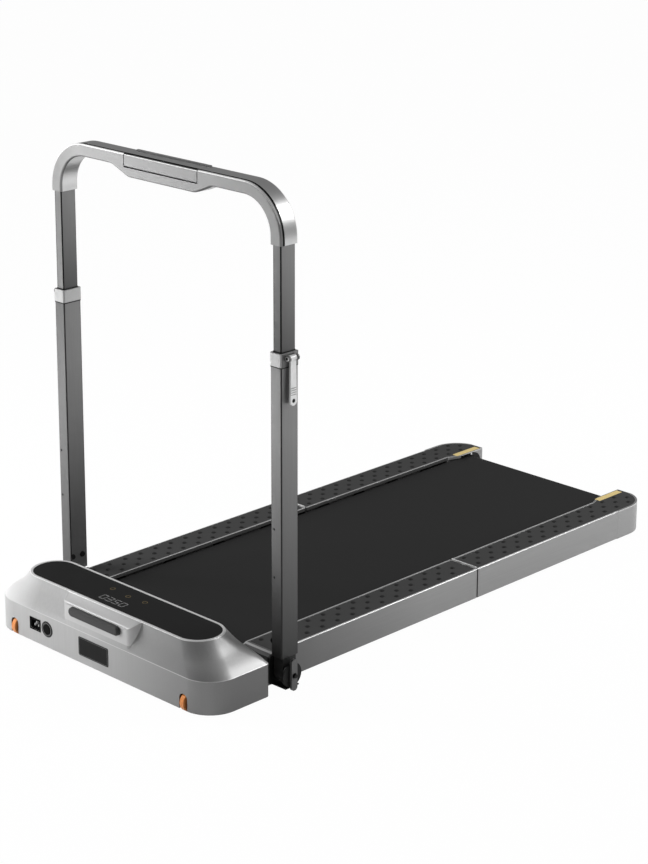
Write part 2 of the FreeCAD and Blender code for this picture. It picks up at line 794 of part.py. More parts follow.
roller_x = both_ways(roller_half)
shaft_half = plate_inner - size.moving_gap
keep(join("drive_roller", rod("roller_drum", roller_radius, roller_x, drive_y, roller_z),
          rod("roller_shaft", size.roller_shaft_radius, both_ways(shaft_half), drive_y, roller_z)))
keep(pulley("roller_pulley", size.roller_pulley_radius, size.roller_shaft_radius, drive_y, roller_z))
bearing_x = (plate_inner - size.bearing_width, plate_inner)
bearing_block = box("bearing_block", bearing_x, around(drive_y, size.bearing_size),
                    around(roller_z, size.bearing_size))
bearing_bore = rod("bearing_bore", size.roller_shaft_radius + size.running_gap,
                   (bearing_x[0] - size.overrun, bearing_x[1] - size.running_gap), drive_y, roller_z)
keep(pair("roller_bearings", cut("bearing_right", bearing_block, bearing_bore)))

# The belt that links the two pulleys: two arcs and two straight runs tangent to both
belt_x = (pulley_x[0] + size.pulley_lip + size.moving_gap, pulley_x[1] - size.pulley_lip - size.moving_gap)


def pulley_belt_face(gap):
    """The closed outline that wraps both pulleys at a gap from their drums."""
    small = size.motor_pulley_radius.value + gap
    large = size.roller_pulley_radius.value + gap
    across = drive_y.value - motor_y.value
    rise = roller_z.value - motor_z.value
    lean = math.atan2(rise, across)
    spread = math.acos((small - large) / math.hypot(across, rise))
    small_centre = FreeCAD.Vector(0, motor_y.value, motor_z.value)
    large_centre = FreeCAD.Vector(0, drive_y.value, roller_z.value)

    def at(centre, radius, angle):
        return centre + FreeCAD.Vector(0, math.cos(angle), math.sin(angle)) * radius

    low, high = lean - spread, lean + spread
    small_arc = Part.Arc(at(small_centre, small, high), at(small_centre, small, lean + math.pi),
                         at(small_centre, small, low))
    large_arc = Part.Arc(at(large_centre, large, low), at(large_centre, large, lean),
                         at(large_centre, large, high))
    edges = [small_arc.toShape(),
             Part.makeLine(at(small_centre, small, low), at(large_centre, large, low)), large_arc.toShape(),
             Part.makeLine(at(large_centre, large, high), at(small_centre, small, high))]
    return Part.Face(Part.Wire(edges))


belt_inner_gap = size.moving_gap.value
belt_outer_gap = belt_inner_gap + size.pulley_belt_thickness.value
belt_face = pulley_belt_face(belt_outer_gap).cut(pulley_belt_face(belt_inner_gap))
drive_belt = keep(document.addObject("Part::Feature", "drive_belt"))
drive_belt.Shape = belt_face.extrude(FreeCAD.Vector((belt_x[1] - belt_x[0]).value, 0, 0))
place(drive_belt, belt_x[0], 0, 0)


# Side rails: a hollow extruded beam with a flange over the deck's edge, made in two halves; the front one's
# closed end slopes down to the hood
def rail(name, low, high, closed_low, closed_high):
    lip_bottom = rail_top - size.rail_lip_depth
    flange_bottom = rail_top - size.rail_flange
    lip = rail_inner + size.rail_wall
    section = [
        (rail_web, size.ground_gap, 0), (rail_outer, size.ground_gap, size.rail_foot_corner),
        (rail_outer, rail_top, size.rail_corner), (rail_inner, rail_top, 0),
        (rail_inner, lip_bottom, 0), (lip, lip_bottom, 0), (lip, flange_bottom, 0),
        (rail_web, flange_bottom, 0)]
    beam = profile(name + "_beam", "y", [section], low, high)
    hollow_low = low + size.nose_length if closed_low else low - size.overrun
    hollow_high = high - size.rail_wall if closed_high else high + size.overrun
    hollow = box(name + "_hollow", (rail_web + size.rail_wall, rail_outer - size.rail_wall),
                 (hollow_low, hollow_high), (size.ground_gap + size.rail_wall, flange_bottom))
    if not closed_low:
        return cut(name + "_tube", beam, hollow)
    crest = low + size.nose_length
    nose_bottom = rail_top - size.nose_drop
    nose = box(name + "_nose", (rail_inner, rail_web), (low, crest), (lip_bottom, rail_top))
    slope = profile(name + "_slope", "x", [[
        (low - size.overrun, nose_bottom, 0), (low, nose_bottom, 0), (crest, rail_top, 0),
        (crest, rail_top + size.overrun, 0), (low - size.overrun, rail_top + size.overrun, 0)]],
        rail_inner - size.overrun, rail_outer + size.overrun)
    return cut(name + "_tube", join(name + "_nosed", beam, nose), hollow, slope)


tread_floor = rail_top - size.tread_sink
tread_inner = rail_inner + size.tread_inset
tread_outer = rail_outer - size.tread_inset
front_tread_start = front_rail_start + size.nose_length + size.tread_inset
front_tread_y = (front_tread_start, front_rail_end - size.tread_end_gap)
front_tread_outline = [rounded((tread_inner, tread_outer), front_tread_y, size.tread_corner)]
rear_tread_start = rear_rail_start + size.tread_end_gap
cap_tread_inner = cap_inner + size.tread_inset
step_low = cap_start + size.cap_step_start
step_high = step_low + size.cap_step_length
rear_tread_end = rear_end - size.tread_inset
rear_tread_outline = [[
    (tread_outer, rear_tread_start, size.tread_corner),
    (tread_outer, rear_tread_end, size.cap_corner - size.tread_inset),
    (cap_tread_inner, rear_tread_end, size.cap_inner_corner - size.tread_inset),
    (cap_tread_inner, step_high, size.cap_step_round), (tread_inner, step_low, size.cap_step_round),
    (tread_inner, rear_tread_start, size.tread_corner)]]


def tread(name, outlines, first_stud):
    """A rubber strip let into the rail's top, with three rows of raised six-sided studs."""
    body = profile(name, "z", outlines, tread_floor, rail_top)
    hexagons = []
    for row in range(stud_rows):
        across = rail_inner + size.stud_row_inset + size.stud_row_gap * row
        along = first_stud + (size.stud_pitch / 2 if row % 2 else 0)
        half, side = size.stud_radius * hexagon_half_share, size.stud_radius * hexagon_side_share
        hexagons.append([
            (across + size.stud_radius, along, 0), (across + half, along + side, 0),
            (across - half, along + side, 0), (across - size.stud_radius, along, 0),
            (across - half, along - side, 0), (across + half, along - side, 0)])
    sketch = sketch_in(body, name + "_stud_outline", "z", hexagons, rail_top)
    stud = pad(body, name + "_studs", sketch, size.stud_height)
    pattern = body.newObject("PartDesign::LinearPattern", name + "_rows")
    pattern.Originals = [stud]
    pattern.Direction = (sketch, ["V_Axis"])
    return body, pattern


def repeat_studs(body, pattern, room):
    """Fill a length of tread with studs, one pitch apart."""
    copies = int((room - size.stud_pitch / 2).value / size.stud_pitch.value) + 1
    pattern.Occurrences = copies
    bind(pattern, "Length", size.stud_pitch * (copies - 1))
    body.Tip = pattern
    return body


first_stud = front_tread_y[0] + size.stud_pitch / 2
front_tread, front_rows = tread("front_tread_right", front_tread_outline, first_stud)
repeat_studs(front_tread, front_rows, front_tread_y[1] - front_tread_y[0] - size.stud_pitch / 2)
rear_tread, rear_rows = tread("rear_tread_right", rear_tread_outline, rear_tread_start + size.stud_pitch / 2)
repeat_studs(rear_tread, rear_rows, rear_tread_end - rear_tread_start - size.cap_corner)
blank_top = rail_top + size.overrun
front_blank = profile("front_tread_blank", "z", front_tread_outline, tread_floor, blank_top)
rear_blank = profile("rear_tread_blank", "z", rear_tread_outline, tread_floor, blank_top)
front_rail = cut(
    "front_rail_right", rail("front_rail", front_rail_start, front_rail_end, True, False), front_blank)
rear_rail = cut("rear_rail_right", rail("rear_rail", rear_rail_start, cap_start, False, True), rear_blank)
keep(front_rail)
keep(mirror("front_rail_left", front_rail))
keep(rear_rail)
keep(mirror("rear_rail_left", rear_rail))
keep(pair("front_treads", front_tread))
keep(pair("rear_treads", rear_tread))

# Rear end caps: hollow mouldings that round off the rails and carry the tail roller's axle
cap_outline = [
    (rail_outer, cap_start, 0), (rail_outer, rear_end, size.cap_corner),
    (cap_inner, rear_end, size.cap_inner_corner), (cap_inner, step_high, size.cap_step_round),
    (rail_inner, step_low, size.cap_step_round), (rail_inner, cap_start, 0)]
cap_block = profile("cap_block", "z", [cap_outline], size.ground_gap, rail_top)
cap_side = profile("cap_side", "x", [[
    (cap_start, size.ground_gap, 0), (rear_end, size.ground_gap, size.cap_foot_corner),
    (rear_end, rail_top, size.rail_corner), (cap_start, rail_top, 0)]], cap_inner, rail_outer)
cap_form = document.addObject("Part::Common", "cap_form")
cap_form.Base = cap_block
cap_form.Tool = cap_side
bay_wall = rail_inner + size.cap_lobe
pocket_inner = bay_wall + size.cap_wall
cap_pocket = profile("cap_pocket", "z", [[
    (pocket_inner, cap_start + size.cap_wall, 0), (rail_outer - size.cap_wall, cap_start + size.cap_wall, 0),
    (rail_outer - size.cap_wall, rear_end - size.cap_corner, 0), (pocket_inner, rear_end - size.cap_wall, 0)]],
    size.ground_gap - size.overrun, rail_top - size.cap_roof)
pocket_floor = size.ground_gap - size.overrun
pocket_slope = profile("pocket_slope", "x", [[
    (rear_end - size.cap_foot_corner - size.cap_wall, pocket_floor, 0), (rear_end, pocket_floor, 0),
    (rear_end, size.ground_gap + size.cap_foot_corner, 0),
    (rear_end - size.cap_wall, size.ground_gap + size.cap_foot_corner, 0)]], cap_inner, rail_outer)
bay_top = rail_top - size.rail_lip_depth
bay_radius = bay_top - roller_z
bay_x = (cap_inner - size.overrun, bay_wall)
bay_run = box("bay_run", bay_x, (cap_start - size.overrun, tail_y), (size.ground_gap - size.overrun, bay_top))
bay_arch = rod("bay_arch", bay_radius, bay_x, tail_y, roller_z)
bay_mouth = box("bay_mouth", bay_x, (tail_y - size.overrun, tail_y + bay_radius),
                (size.ground_gap - size.overrun, roller_z))
tail_axle_half = rail_inner + size.tail_axle_reach
axle_boss = box("axle_boss", (bay_wall, tail_axle_half + size.cap_wall),
                around(tail_y, size.axle_boss_depth), around(roller_z, size.axle_boss_depth))
axle_seat = rod("axle_seat", size.tail_axle_radius, (bay_wall - size.overrun, tail_axle_half),
                tail_y, roller_z)
cap_hollow = cut("cap_hollow", cap_pocket, pocket_slope)
cap_shell = cut("cap_shell", cap_form, cap_hollow, bay_run, bay_arch, bay_mouth, rear_blank)
keep(pair("rear_caps", cut("rear_cap_right", join("cap_and_boss", cap_shell, axle_boss), axle_seat)))
tail_axle_x = both_ways(tail_axle_half)
keep(rod("tail_roller_axle", size.tail_axle_radius, tail_axle_x, tail_y, roller_z))
tail_bore = rod("tail_bore", size.tail_axle_radius + size.running_gap, tail_axle_x, tail_y, roller_z)
keep(cut("tail_roller", rod("tail_drum", roller_radius, roller_x, tail_y, roller_z), tail_bore))


# Walking belt: a loop round both rollers, split where the deck folds
def belt_half(name, roller_y, cut_y):
    low, high = (roller_y, cut_y) if roller_y.value < cut_y.value else (cut_y, roller_y)
    far_low = low - (size.overrun if low is cut_y else 0)
    far_high = high + (size.overrun if high is cut_y else 0)
    across = both_ways(belt_half_width)
    wide = both_ways(belt_half_width + size.overrun)
    loop = join(name + "_loop", box(name + "_runs", across, (low, high), around(roller_z, 2 * belt_outer)),
                rod(name + "_bend", belt_outer, across, roller_y, roller_z))
    inside = box(name + "_inside", wide, (far_low, far_high), around(roller_z, 2 * size.belt_bend))
    inside_bend = rod(name + "_inside_bend", size.belt_bend, wide, roller_y, roller_z)
    space = join(name + "_space", inside, inside_bend)
    return cut(name, loop, space)


keep(belt_half("front_belt", drive_y, seam - size.belt_seam_gap))
keep(belt_half("rear_belt", tail_y, seam + size.belt_seam_gap))

# Deck boards on rubber cushions, cross members between the rails, belly pans and feet
deck_top = belt_top - size.belt_thickness - size.deck_gap
deck_z = (deck_top - size.deck_thickness, deck_top)
deck_x = both_ways(size.deck_half_width)
keep(box("front_deck", deck_x, (drive_y + size.deck_roller_gap, seam - size.deck_seam_gap), deck_z))
keep(box("rear_deck", deck_x, (seam + size.deck_seam_gap, tail_y - size.deck_roller_gap), deck_z))
member_z = (roller_z - size.belt_bend + size.member_belt_gap, deck_z[0] - size.cushion_height)


def under_frame(side, first, last):
    """Square tubes across the frame, evenly spaced, and the cushions that stand on them."""
    tubes = []
    pads = []
    for number in range(member_count):
        y = around(first + (last - first) / (member_count - 1) * number, size.member_width)
        tube = box(f"{side}_member_{number}", both_ways(rail_web), y, member_z)
        hollow = box(
            f"{side}_member_hollow_{number}", both_ways(rail_web + size.overrun),
            (y[0] + size.member_wall, y[1] - size.member_wall),
            (member_z[0] + size.member_wall, member_z[1] - size.member_wall))
        tubes.append(cut(f"{side}_member_tube_{number}", tube, hollow))
        for sign, hand in ((-1, "left"), (1, "right")):
            x = around(size.cushion_across * sign, size.cushion_length)
            pads.append(box(f"{side}_cushion_{hand}_{number}", x, y, (member_z[1], deck_z[0])))
    keep(group(f"{side}_cross_members", *tubes))
    keep(group(f"{side}_cushions", *pads))


under_frame("front", seam - size.member_seam_gap, drive_y + size.member_drive_gap)
under_frame("rear", seam + size.member_seam_gap, tail_y - size.member_tail_gap)
pan_half = rail_web - size.moving_gap
pan_bottom = size.ground_gap + size.pan_rise
pan_z = (pan_bottom, pan_bottom + size.pan_thickness)
keep(box("front_belly_pan", both_ways(pan_half), (plate_y[1] + size.moving_gap, front_rail_end), pan_z))
keep(box("rear_belly_pan", both_ways(pan_half), (rear_rail_start, cap_start), pan_z))


def feet(side, places):
    """Round rubber feet under both rails."""
    across = rail_web + size.foot_radius
    rods = []
    for number, y in enumerate(places, start=1):
        rods.append(rod(f"{side}_foot_{number}", size.foot_radius, across, y, (0, size.ground_gap)))
    return pair(f"{side}_feet", group(f"{side}_feet_right", *rods))


keep(feet("front", (front_rail_start + size.foot_front_start, seam - size.foot_seam_start)))
keep(feet("rear", (seam + size.foot_seam_start, cap_start - size.foot_seam_start)))

# Fold hinge: a leaf on each rail end, with knuckles in turn along one pin
hinge_z = rail_top + size.hinge_rise
hinge_x = (rail_inner + size.hinge_inset, rail_outer - size.hinge_inset)
knuckle = (hinge_x[1] - hinge_x[0]) / knuckle_count
leaf_top = hinge_z - size.hinge_radius - size.moving_gap
leaf_z = (leaf_top - size.hinge_leaf_height, leaf_top)


def hinge_leaf(side, leaf_y, turns):
    """One leaf, with its own knuckles at the given turns along the pin."""
    pieces = [box(f"{side}_leaf", hinge_x, leaf_y, leaf_z)]
    for turn in turns:
        x = (hinge_x[0] + knuckle * turn + size.knuckle_gap / 2,
             hinge_x[0] + knuckle * (turn + 1) - size.knuckle_gap / 2)
        pieces.append(box(f"{side}_web_{turn}", x, leaf_y, (leaf_top, hinge_z)))
        pieces.append(rod(f"{side}_knuckle_{turn}", size.hinge_radius, x, seam, hinge_z))
    bore = rod(f"{side}_hinge_bore", size.hinge_pin_radius + size.running_gap,
               (hinge_x[0] - size.overrun, hinge_x[1] + size.overrun), seam, hinge_z)
    return pair(f"{side}_hinge_leaves", cut(f"{side}_leaf_right", join(f"{side}_leaf_blank", *pieces), bore))


keep(hinge_leaf("front", (front_rail_end, front_rail_end + size.hinge_leaf), range(0, knuckle_count, 2)))
keep(hinge_leaf("rear", (rear_rail_start - size.hinge_leaf, rear_rail_start), range(1, knuckle_count, 2)))
keep(pair("hinge_pins", rod("hinge_pin_right", size.hinge_pin_radius, hinge_x, seam, hinge_z)))

# Post brackets on the rails: two cheeks and a floor, with the pivot pin and the lock lever outside
post_x = around(post_across, size.post_width)
pivot_z = size.pivot_height
bracket_z = (pivot_z - size.bracket_drop, pivot_z + size.bracket_rise)
cheek_x = (rail_outer, rail_outer + size.bracket_inner_thickness)
disc_inner = post_x[1] + size.bracket_outer_gap
disc_x = (disc_inner, disc_inner + size.bracket_outer_thickness)
lock_x = (disc_x[1] + size.lock_gap, disc_x[1] + size.lock_gap + size.lock_thickness)
head_x = (lock_x[1] + size.moving_gap, lock_x[1] + size.moving_gap + size.pivot_head_thickness)
pivot_x = (rail_outer, head_x[1])
cheek = profile("bracket_cheek", "x", [rounded(
    around(post_y, 2 * size.bracket_half_depth), bracket_z, size.bracket_corner)], *cheek_x)
disc = rod("bracket_disc", size.bracket_disc_radius, disc_x, post_y, pivot_z)
floor_half = size.bracket_half_depth - size.bracket_corner
bracket_floor = box(
    "bracket_floor", (cheek_x[0], disc_x[1]), around(post_y, 2 * floor_half),
    (bracket_z[0], bracket_z[0] + size.bracket_floor))
pivot_hole = rod("pivot_hole", size.pivot_radius, pivot_x, post_y, pivot_z)
bracket_blank = join("bracket_blank", cheek, disc, bracket_floor)
keep(pair("post_brackets", cut("bracket_right", bracket_blank, pivot_hole)))
pin_head = rod("pivot_head", size.pivot_head_radius, head_x, post_y, pivot_z)
pin_shank = rod("pivot_shank", size.pivot_radius, pivot_x, post_y, pivot_z)
keep(pair("pivot_pins", join("pivot_pin_right", pin_shank, pin_head)))
lock_plate = profile("lock_plate", "x", [rounded(
    around(post_y, 2 * size.lock_half_depth), (pivot_z - size.lock_drop, pivot_z + size.lock_rise),
    size.lock_half_depth * slot_round_share)], *lock_x)
lock_bore = rod("lock_bore", size.pivot_radius + size.running_gap,
                (lock_x[0] - size.overrun, lock_x[1] + size.overrun), post_y, pivot_z)
lock_right = keep(cut("lock_lever_right", lock_plate, lock_bore))
keep(mirror("lock_lever_left", lock_right))

# Outer posts with the solid tongues that turn on the pivot pins
post_bottom = bracket_z[1] + size.post_foot_gap
post_top = post_bottom + size.post_length
post_outline = rounded(post_x, around(post_y, size.post_depth), size.post_corner)
post_space_x = (post_x[0] + size.post_wall, post_x[1] - size.post_wall)
post_space_y = around(post_y, size.post_depth - 2 * size.post_wall)
post_space = rounded(post_space_x, post_space_y, size.post_corner - size.post_wall)
post_right = profile("outer_post_right", "z", [post_outline, post_space], post_bottom, post_top)
keep(post_right)
keep(mirror("outer_post_left", post_right))
tongue_half = (size.post_depth / 2 - size.post_wall) - size.tongue_margin
tongue = join(
    "tongue_blank", box("tongue_blade", post_space_x, around(post_y, 2 * tongue_half),
                        (pivot_z, post_bottom + size.tongue_insert)),
    rod("tongue_end", tongue_half, post_space_x, post_y, pivot_z))
tongue_bore = rod("tongue_bore", size.pivot_radius + size.running_gap,
                  (post_space_x[0] - size.overrun, post_space_x[1] + size.overrun), post_y, pivot_z)
keep(pair("post_tongues", cut("tongue_right", tongue, tongue_bore)))

# Collars at the tops of the outer posts, with ears for the quick-release levers
collar_z = (post_top, post_top + size.collar_height)
collar_outline = rounded((post_x[0] - size.collar_margin, post_x[1] + size.collar_margin),
                         around(post_y, size.post_depth + 2 * size.collar_margin), size.collar_corner)
inner_inset = 2 * (size.post_wall + size.slide_clearance)
inner_width = size.post_width - inner_inset
inner_depth = size.post_depth - inner_inset
slide_x = around(post_across, inner_width + 2 * size.inner_slide_gap)
slide_y = around(post_y, inner_depth + 2 * size.inner_slide_gap)
collar_bore = rounded(slide_x, slide_y, size.inner_corner)
collar_ring = profile("collar_ring", "z", [collar_outline, collar_bore], *collar_z)
clamp_x = post_x[1] + size.clamp_axis_out
clamp_z = collar_z[1] - size.clamp_axis_drop
clamp_y = around(post_y, size.clamp_width)
ear_run = (post_x[1] + size.collar_margin - size.overrun, clamp_x)
ear_front = clamp_y[0] - size.moving_gap
ear_rear = clamp_y[1] + size.moving_gap
clamp_pin_y = (ear_front - size.clamp_ear, ear_rear + size.clamp_ear)
clamp_ears = []
for name, y in (("clamp_ear_front", (clamp_pin_y[0], ear_front)),
                ("clamp_ear_rear", (ear_rear, clamp_pin_y[1]))):
    clamp_ears.append(box(name, ear_run, y, around(clamp_z, 2 * size.clamp_radius)))
    clamp_ears.append(rod(name + "_round", size.clamp_radius, clamp_x, y, clamp_z))
clamp_pin_hole = rod("clamp_pin_hole", size.clamp_pin_radius, clamp_x, clamp_pin_y, clamp_z)
collar_blank = join("collar_blank", collar_ring, *clamp_ears)
keep(pair("post_collars", cut("collar_right", collar_blank, clamp_pin_hole)))
keep(pair("clamp_pins", rod("clamp_pin_right", size.clamp_pin_radius, clamp_x, clamp_pin_y, clamp_z)))

# Quick-release levers: a round cam end and a blade that hangs beside the post
lever_tip_z = clamp_z - size.clamp_length
lever_inner = clamp_x - size.clamp_thickness / 2
lever_tip = lever_inner + size.clamp_tip_out
lever_tip_round = size.clamp_thickness * lever_tip_share
lever_blade = profile("lever_blade", "y", [[
    (lever_inner, clamp_z, 0), (lever_tip - size.clamp_thickness, lever_tip_z, lever_tip_round / 2),
    (lever_tip, lever_tip_z, lever_tip_round), (clamp_x + size.clamp_radius, clamp_z, 0)]], *clamp_y)
lever_cam = rod("lever_cam", size.clamp_radius, clamp_x, clamp_y, clamp_z)
lever_bore = rod("lever_bore", size.clamp_pin_radius + size.running_gap, clamp_x,
                 (clamp_y[0] - size.overrun, clamp_y[1] + size.overrun), clamp_z)
lever_hole = rod("lever_hole", size.clamp_hole_radius, (post_x[1], clamp_x + size.clamp_radius), post_y,
                 lever_tip_z + size.clamp_hole_rise)
lever_blank = join("lever_blank", lever_blade, lever_cam)
lever_right = keep(cut("clamp_lever_right", lever_blank, lever_bore, lever_hole))
keep(mirror("clamp_lever_left", lever_right))

# Inner posts that slide in the outer ones, and the top bar they carry
inner_x = around(post_across, inner_width)
inner_y = around(post_y, inner_depth)
inner_hole = rounded((inner_x[0] + size.inner_wall, inner_x[1] - size.inner_wall),
                     (inner_y[0] + size.inner_wall, inner_y[1] - size.inner_wall),
                     size.inner_corner - size.inner_wall)
bar_bottom = collar_z[1] + size.inner_shown
bar_top = bar_bottom + size.sleeve_length + size.bar_bend
inner_top = bar_bottom + size.sleeve_insert
inner_right = profile("inner_post_right", "z", [rounded(inner_x, inner_y, size.inner_corner), inner_hole],
                      post_top - size.inner_overlap, inner_top)
keep(pair("inner_posts", inner_right))

bar_thickness = inner_width + 2 * size.sleeve_wall
bar_in, bar_out = around(post_across, bar_thickness)
bar_y = around(post_y, inner_depth + 2 * size.sleeve_wall)
bar_under = bar_top - size.bar_front_height
bulge_under = bar_under - size.bulge_drop
bulge_wide = size.bulge_half_width + size.bulge_spread
inner_bend = size.bar_bend - bar_thickness
bar_outline = [
    (bar_out, bar_bottom, 0), (bar_out, bar_top, size.bar_bend), (-bar_out, bar_top, size.bar_bend),
    (-bar_out, bar_bottom, 0), (-bar_in, bar_bottom, 0), (-bar_in, bar_under, inner_bend),
    (-bulge_wide, bar_under, size.bulge_round), (-size.bulge_half_width, bulge_under, size.bulge_round),
    (size.bulge_half_width, bulge_under, size.bulge_round), (bulge_wide, bar_under, size.bulge_round),
    (bar_in, bar_under, inner_bend), (bar_in, bar_bottom, 0)]
bar_body = profile("bar_body", "y", [bar_outline], *bar_y)


def bar_long_edge(edge):
    """Edges of the bar's front and rear faces above the open ends of its sleeves."""
    in_face = any(on_plane("y", face)(edge) for face in bar_y)
    return in_face and edge.BoundBox.ZMax > bar_bottom.value + size.bar_edge.value


soften(bar_body, "bar_round_edges", size.bar_edge, bar_long_edge)
flap_x = both_ways(size.flap_half_width)
flap_half = size.flap_thickness / 2
flap_axis_y = bar_y[0] + flap_half
flap_bottom = bar_top - size.flap_height
flap_axis_z = bar_top - flap_half - size.flap_pin_radius - size.moving_gap
notch = box(
    "flap_notch", both_ways(size.flap_half_width + size.moving_gap),
    (bar_y[0] - size.overrun, bar_y[0] + size.flap_thickness + size.moving_gap),
    (flap_bottom - size.moving_gap, bar_top + size.overrun))
flap_pin_x = both_ways(size.flap_half_width + size.flap_pin_reach)
flap_pin_hole = rod("flap_pin_hole", size.flap_pin_radius, flap_pin_x, flap_axis_y, flap_axis_z)
socket_space = profile("socket_space", "z", [rounded(inner_x, inner_y, size.inner_corner)],
                       bar_bottom - size.overrun, inner_top)
socket_other = mirror("socket_space_left", socket_space)
keep(cut("handrail_bar", bar_body, notch, flap_pin_hole, socket_space, socket_other))
flap_blade = box("flap_blade", flap_x, (bar_y[0], bar_y[0] + size.flap_thickness), (flap_bottom, flap_axis_z))
flap_barrel = rod("flap_barrel", flap_half, flap_x, flap_axis_y, flap_axis_z)
flap_bore = rod("flap_bore", size.flap_pin_radius + size.running_gap, flap_pin_x, flap_axis_y, flap_axis_z)
keep(cut("phone_flap", join("flap_blank", flap_blade, flap_barrel), flap_bore))
keep(rod("flap_pin", size.flap_pin_radius, flap_pin_x, flap_axis_y, flap_axis_z))
ledge_y = (bar_y[1] - size.ledge_inset - size.ledge_depth, bar_y[1] - size.ledge_inset)
keep(box("phone_ledge", flap_x, ledge_y, (bar_top, bar_top + size.ledge_height)))

# Check every object, then write one file for each sub-part
document.recompute()
failed = [item.Label for item in document.Objects if {"Invalid", "Error"} & set(item.State)]
if failed:
    raise RuntimeError(f"objects that failed: {failed}")
unsound = [item.Label for item in sub_parts if item.Shape.isNull() or not item.Shape.isValid()]
if unsound:
    raise RuntimeError(f"sub-parts without a valid shape: {unsound}")
os.makedirs("parts", exist_ok=True)
for item in sub_parts:
    item.Shape.exportStep(f"parts/{item.Label}.step")
print(len(sub_parts), "sub-parts written")
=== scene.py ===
"""Looks of a folding walking pad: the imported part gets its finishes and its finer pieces."""

import json
import math

import bmesh
import bpy
from mathutils import Matrix, Vector

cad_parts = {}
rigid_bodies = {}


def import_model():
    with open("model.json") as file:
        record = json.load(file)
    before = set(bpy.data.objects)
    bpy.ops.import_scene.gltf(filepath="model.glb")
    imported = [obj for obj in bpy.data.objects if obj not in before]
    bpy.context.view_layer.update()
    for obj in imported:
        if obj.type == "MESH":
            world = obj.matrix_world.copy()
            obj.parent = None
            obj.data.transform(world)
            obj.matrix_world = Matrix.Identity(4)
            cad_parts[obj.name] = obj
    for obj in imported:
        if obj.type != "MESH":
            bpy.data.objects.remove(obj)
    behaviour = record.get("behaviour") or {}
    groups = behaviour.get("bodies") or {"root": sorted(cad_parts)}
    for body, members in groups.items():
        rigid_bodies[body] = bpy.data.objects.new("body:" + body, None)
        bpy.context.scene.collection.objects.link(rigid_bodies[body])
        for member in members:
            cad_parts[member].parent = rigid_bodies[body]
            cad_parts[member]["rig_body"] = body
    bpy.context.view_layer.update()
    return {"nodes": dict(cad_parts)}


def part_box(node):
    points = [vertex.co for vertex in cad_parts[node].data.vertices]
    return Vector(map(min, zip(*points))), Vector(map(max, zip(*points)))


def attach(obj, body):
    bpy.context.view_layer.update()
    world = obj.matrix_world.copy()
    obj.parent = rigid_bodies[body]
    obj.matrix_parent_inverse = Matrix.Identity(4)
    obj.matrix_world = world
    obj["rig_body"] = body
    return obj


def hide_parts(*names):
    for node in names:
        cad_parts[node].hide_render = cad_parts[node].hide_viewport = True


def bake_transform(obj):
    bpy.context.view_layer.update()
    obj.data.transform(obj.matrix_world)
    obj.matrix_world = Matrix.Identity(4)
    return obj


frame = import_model()
nodes = frame["nodes"]
MM = 0.001

# Camera: a long lens at the front right, fitted to the straight edges of the photograph.
# Its optical axis passes above the picture's middle, so the picture is shifted down and to the right.
image_high = 864
focal_pixels = 2337.05
axis_offset_pixels = (24, -132)
camera_place = (3.40583, -3.53498, 2.02219)
azimuth, elevation = math.radians(45.047), math.radians(15.6137)
backwards = Vector((
    math.sin(azimuth) * math.cos(elevation), -math.cos(azimuth) * math.cos(elevation), math.sin(elevation)))
sideways = Vector((math.cos(azimuth), math.sin(azimuth), 0))
lens = bpy.data.cameras.new("camera")
lens.sensor_width = 36
lens.lens = lens.sensor_width * focal_pixels / image_high
lens.shift_x, lens.shift_y = [offset / image_high for offset in axis_offset_pixels]
camera = bpy.data.objects.new("camera", lens)
camera.matrix_world = Matrix.Translation(camera_place) @ Matrix(
    (sideways, backwards.cross(sideways), backwards)).transposed().to_4x4()
bpy.context.scene.collection.objects.link(camera)
bpy.context.scene.camera = camera


# Studio: a dim grey room that the camera sees as white, with soft lights at the front left and right rear.
# Glossy pieces mirror only the two small high ones, so metal turns dark on top, as in the photograph.
def wired(tree, kind, settings=None, inputs=None, output=0):
    """An output of a new node in a tree, whose inputs are linked to other outputs or set to values."""
    node = tree.nodes.new(kind)
    for name, value in (settings or {}).items():
        setattr(node, name, value)
    for name, value in (inputs or {}).items():
        if isinstance(value, bpy.types.NodeSocket):
            tree.links.new(value, node.inputs[name])
        else:
            node.inputs[name].default_value = value
    return node.outputs[output]


def softbox(name, place, aim, size, watts, mirrored=False):
    """A rectangular soft light at a place, turned towards a point, which glossy pieces mirror or not."""
    light = bpy.data.lights.new(name, "AREA")
    light.shape = "RECTANGLE"
    light.size, light.size_y = size
    light.energy = watts
    stand = bpy.data.objects.new(name, light)
    stand.location = place
    stand.rotation_euler = (Vector(aim) - Vector(place)).to_track_quat("-Z", "Y").to_euler()
    stand.visible_glossy = mirrored
    bpy.context.scene.collection.objects.link(stand)


bpy.context.scene.view_settings.view_transform = "Standard"
room = bpy.data.worlds.new("room")
room.use_nodes = True
room_grey = 0.2
room_tree = room.node_tree
dim = room_tree.nodes["Background"]
dim.inputs["Color"].default_value = (room_grey, room_grey, room_grey, 1)
white = wired(room_tree, "ShaderNodeBackground", None, {"Color": (1, 1, 1, 1)})
room_seen = wired(room_tree, "ShaderNodeLightPath", output="Is Camera Ray")
room_light = wired(room_tree, "ShaderNodeMixShader", None, {0: room_seen, 1: dim.outputs[0], 2: white})
room_tree.links.new(room_light, room_tree.nodes["World Output"].inputs["Surface"])
bpy.context.scene.world = room
softbox("key_light", place=(-1.8, -1.9, 0.8), aim=(0, -0.6, 0.5), size=(1.2, 1.2), watts=70)
softbox("side_light", place=(2.2, 3.0, 1.1), aim=(0.2, 0.4, 0.2), size=(2.0, 1.4), watts=85)
softbox("edge_light", place=(1.9, 2.4, 2.6), aim=(0.3, -0.5, 1.0), size=(1.2, 1.0), watts=58, mirrored=True)
softbox("sheen_light", place=(-2.6, -1.5, 2.4), aim=(0, -0.6, 0.5), size=(1.0, 1.0), watts=30, mirrored=True)


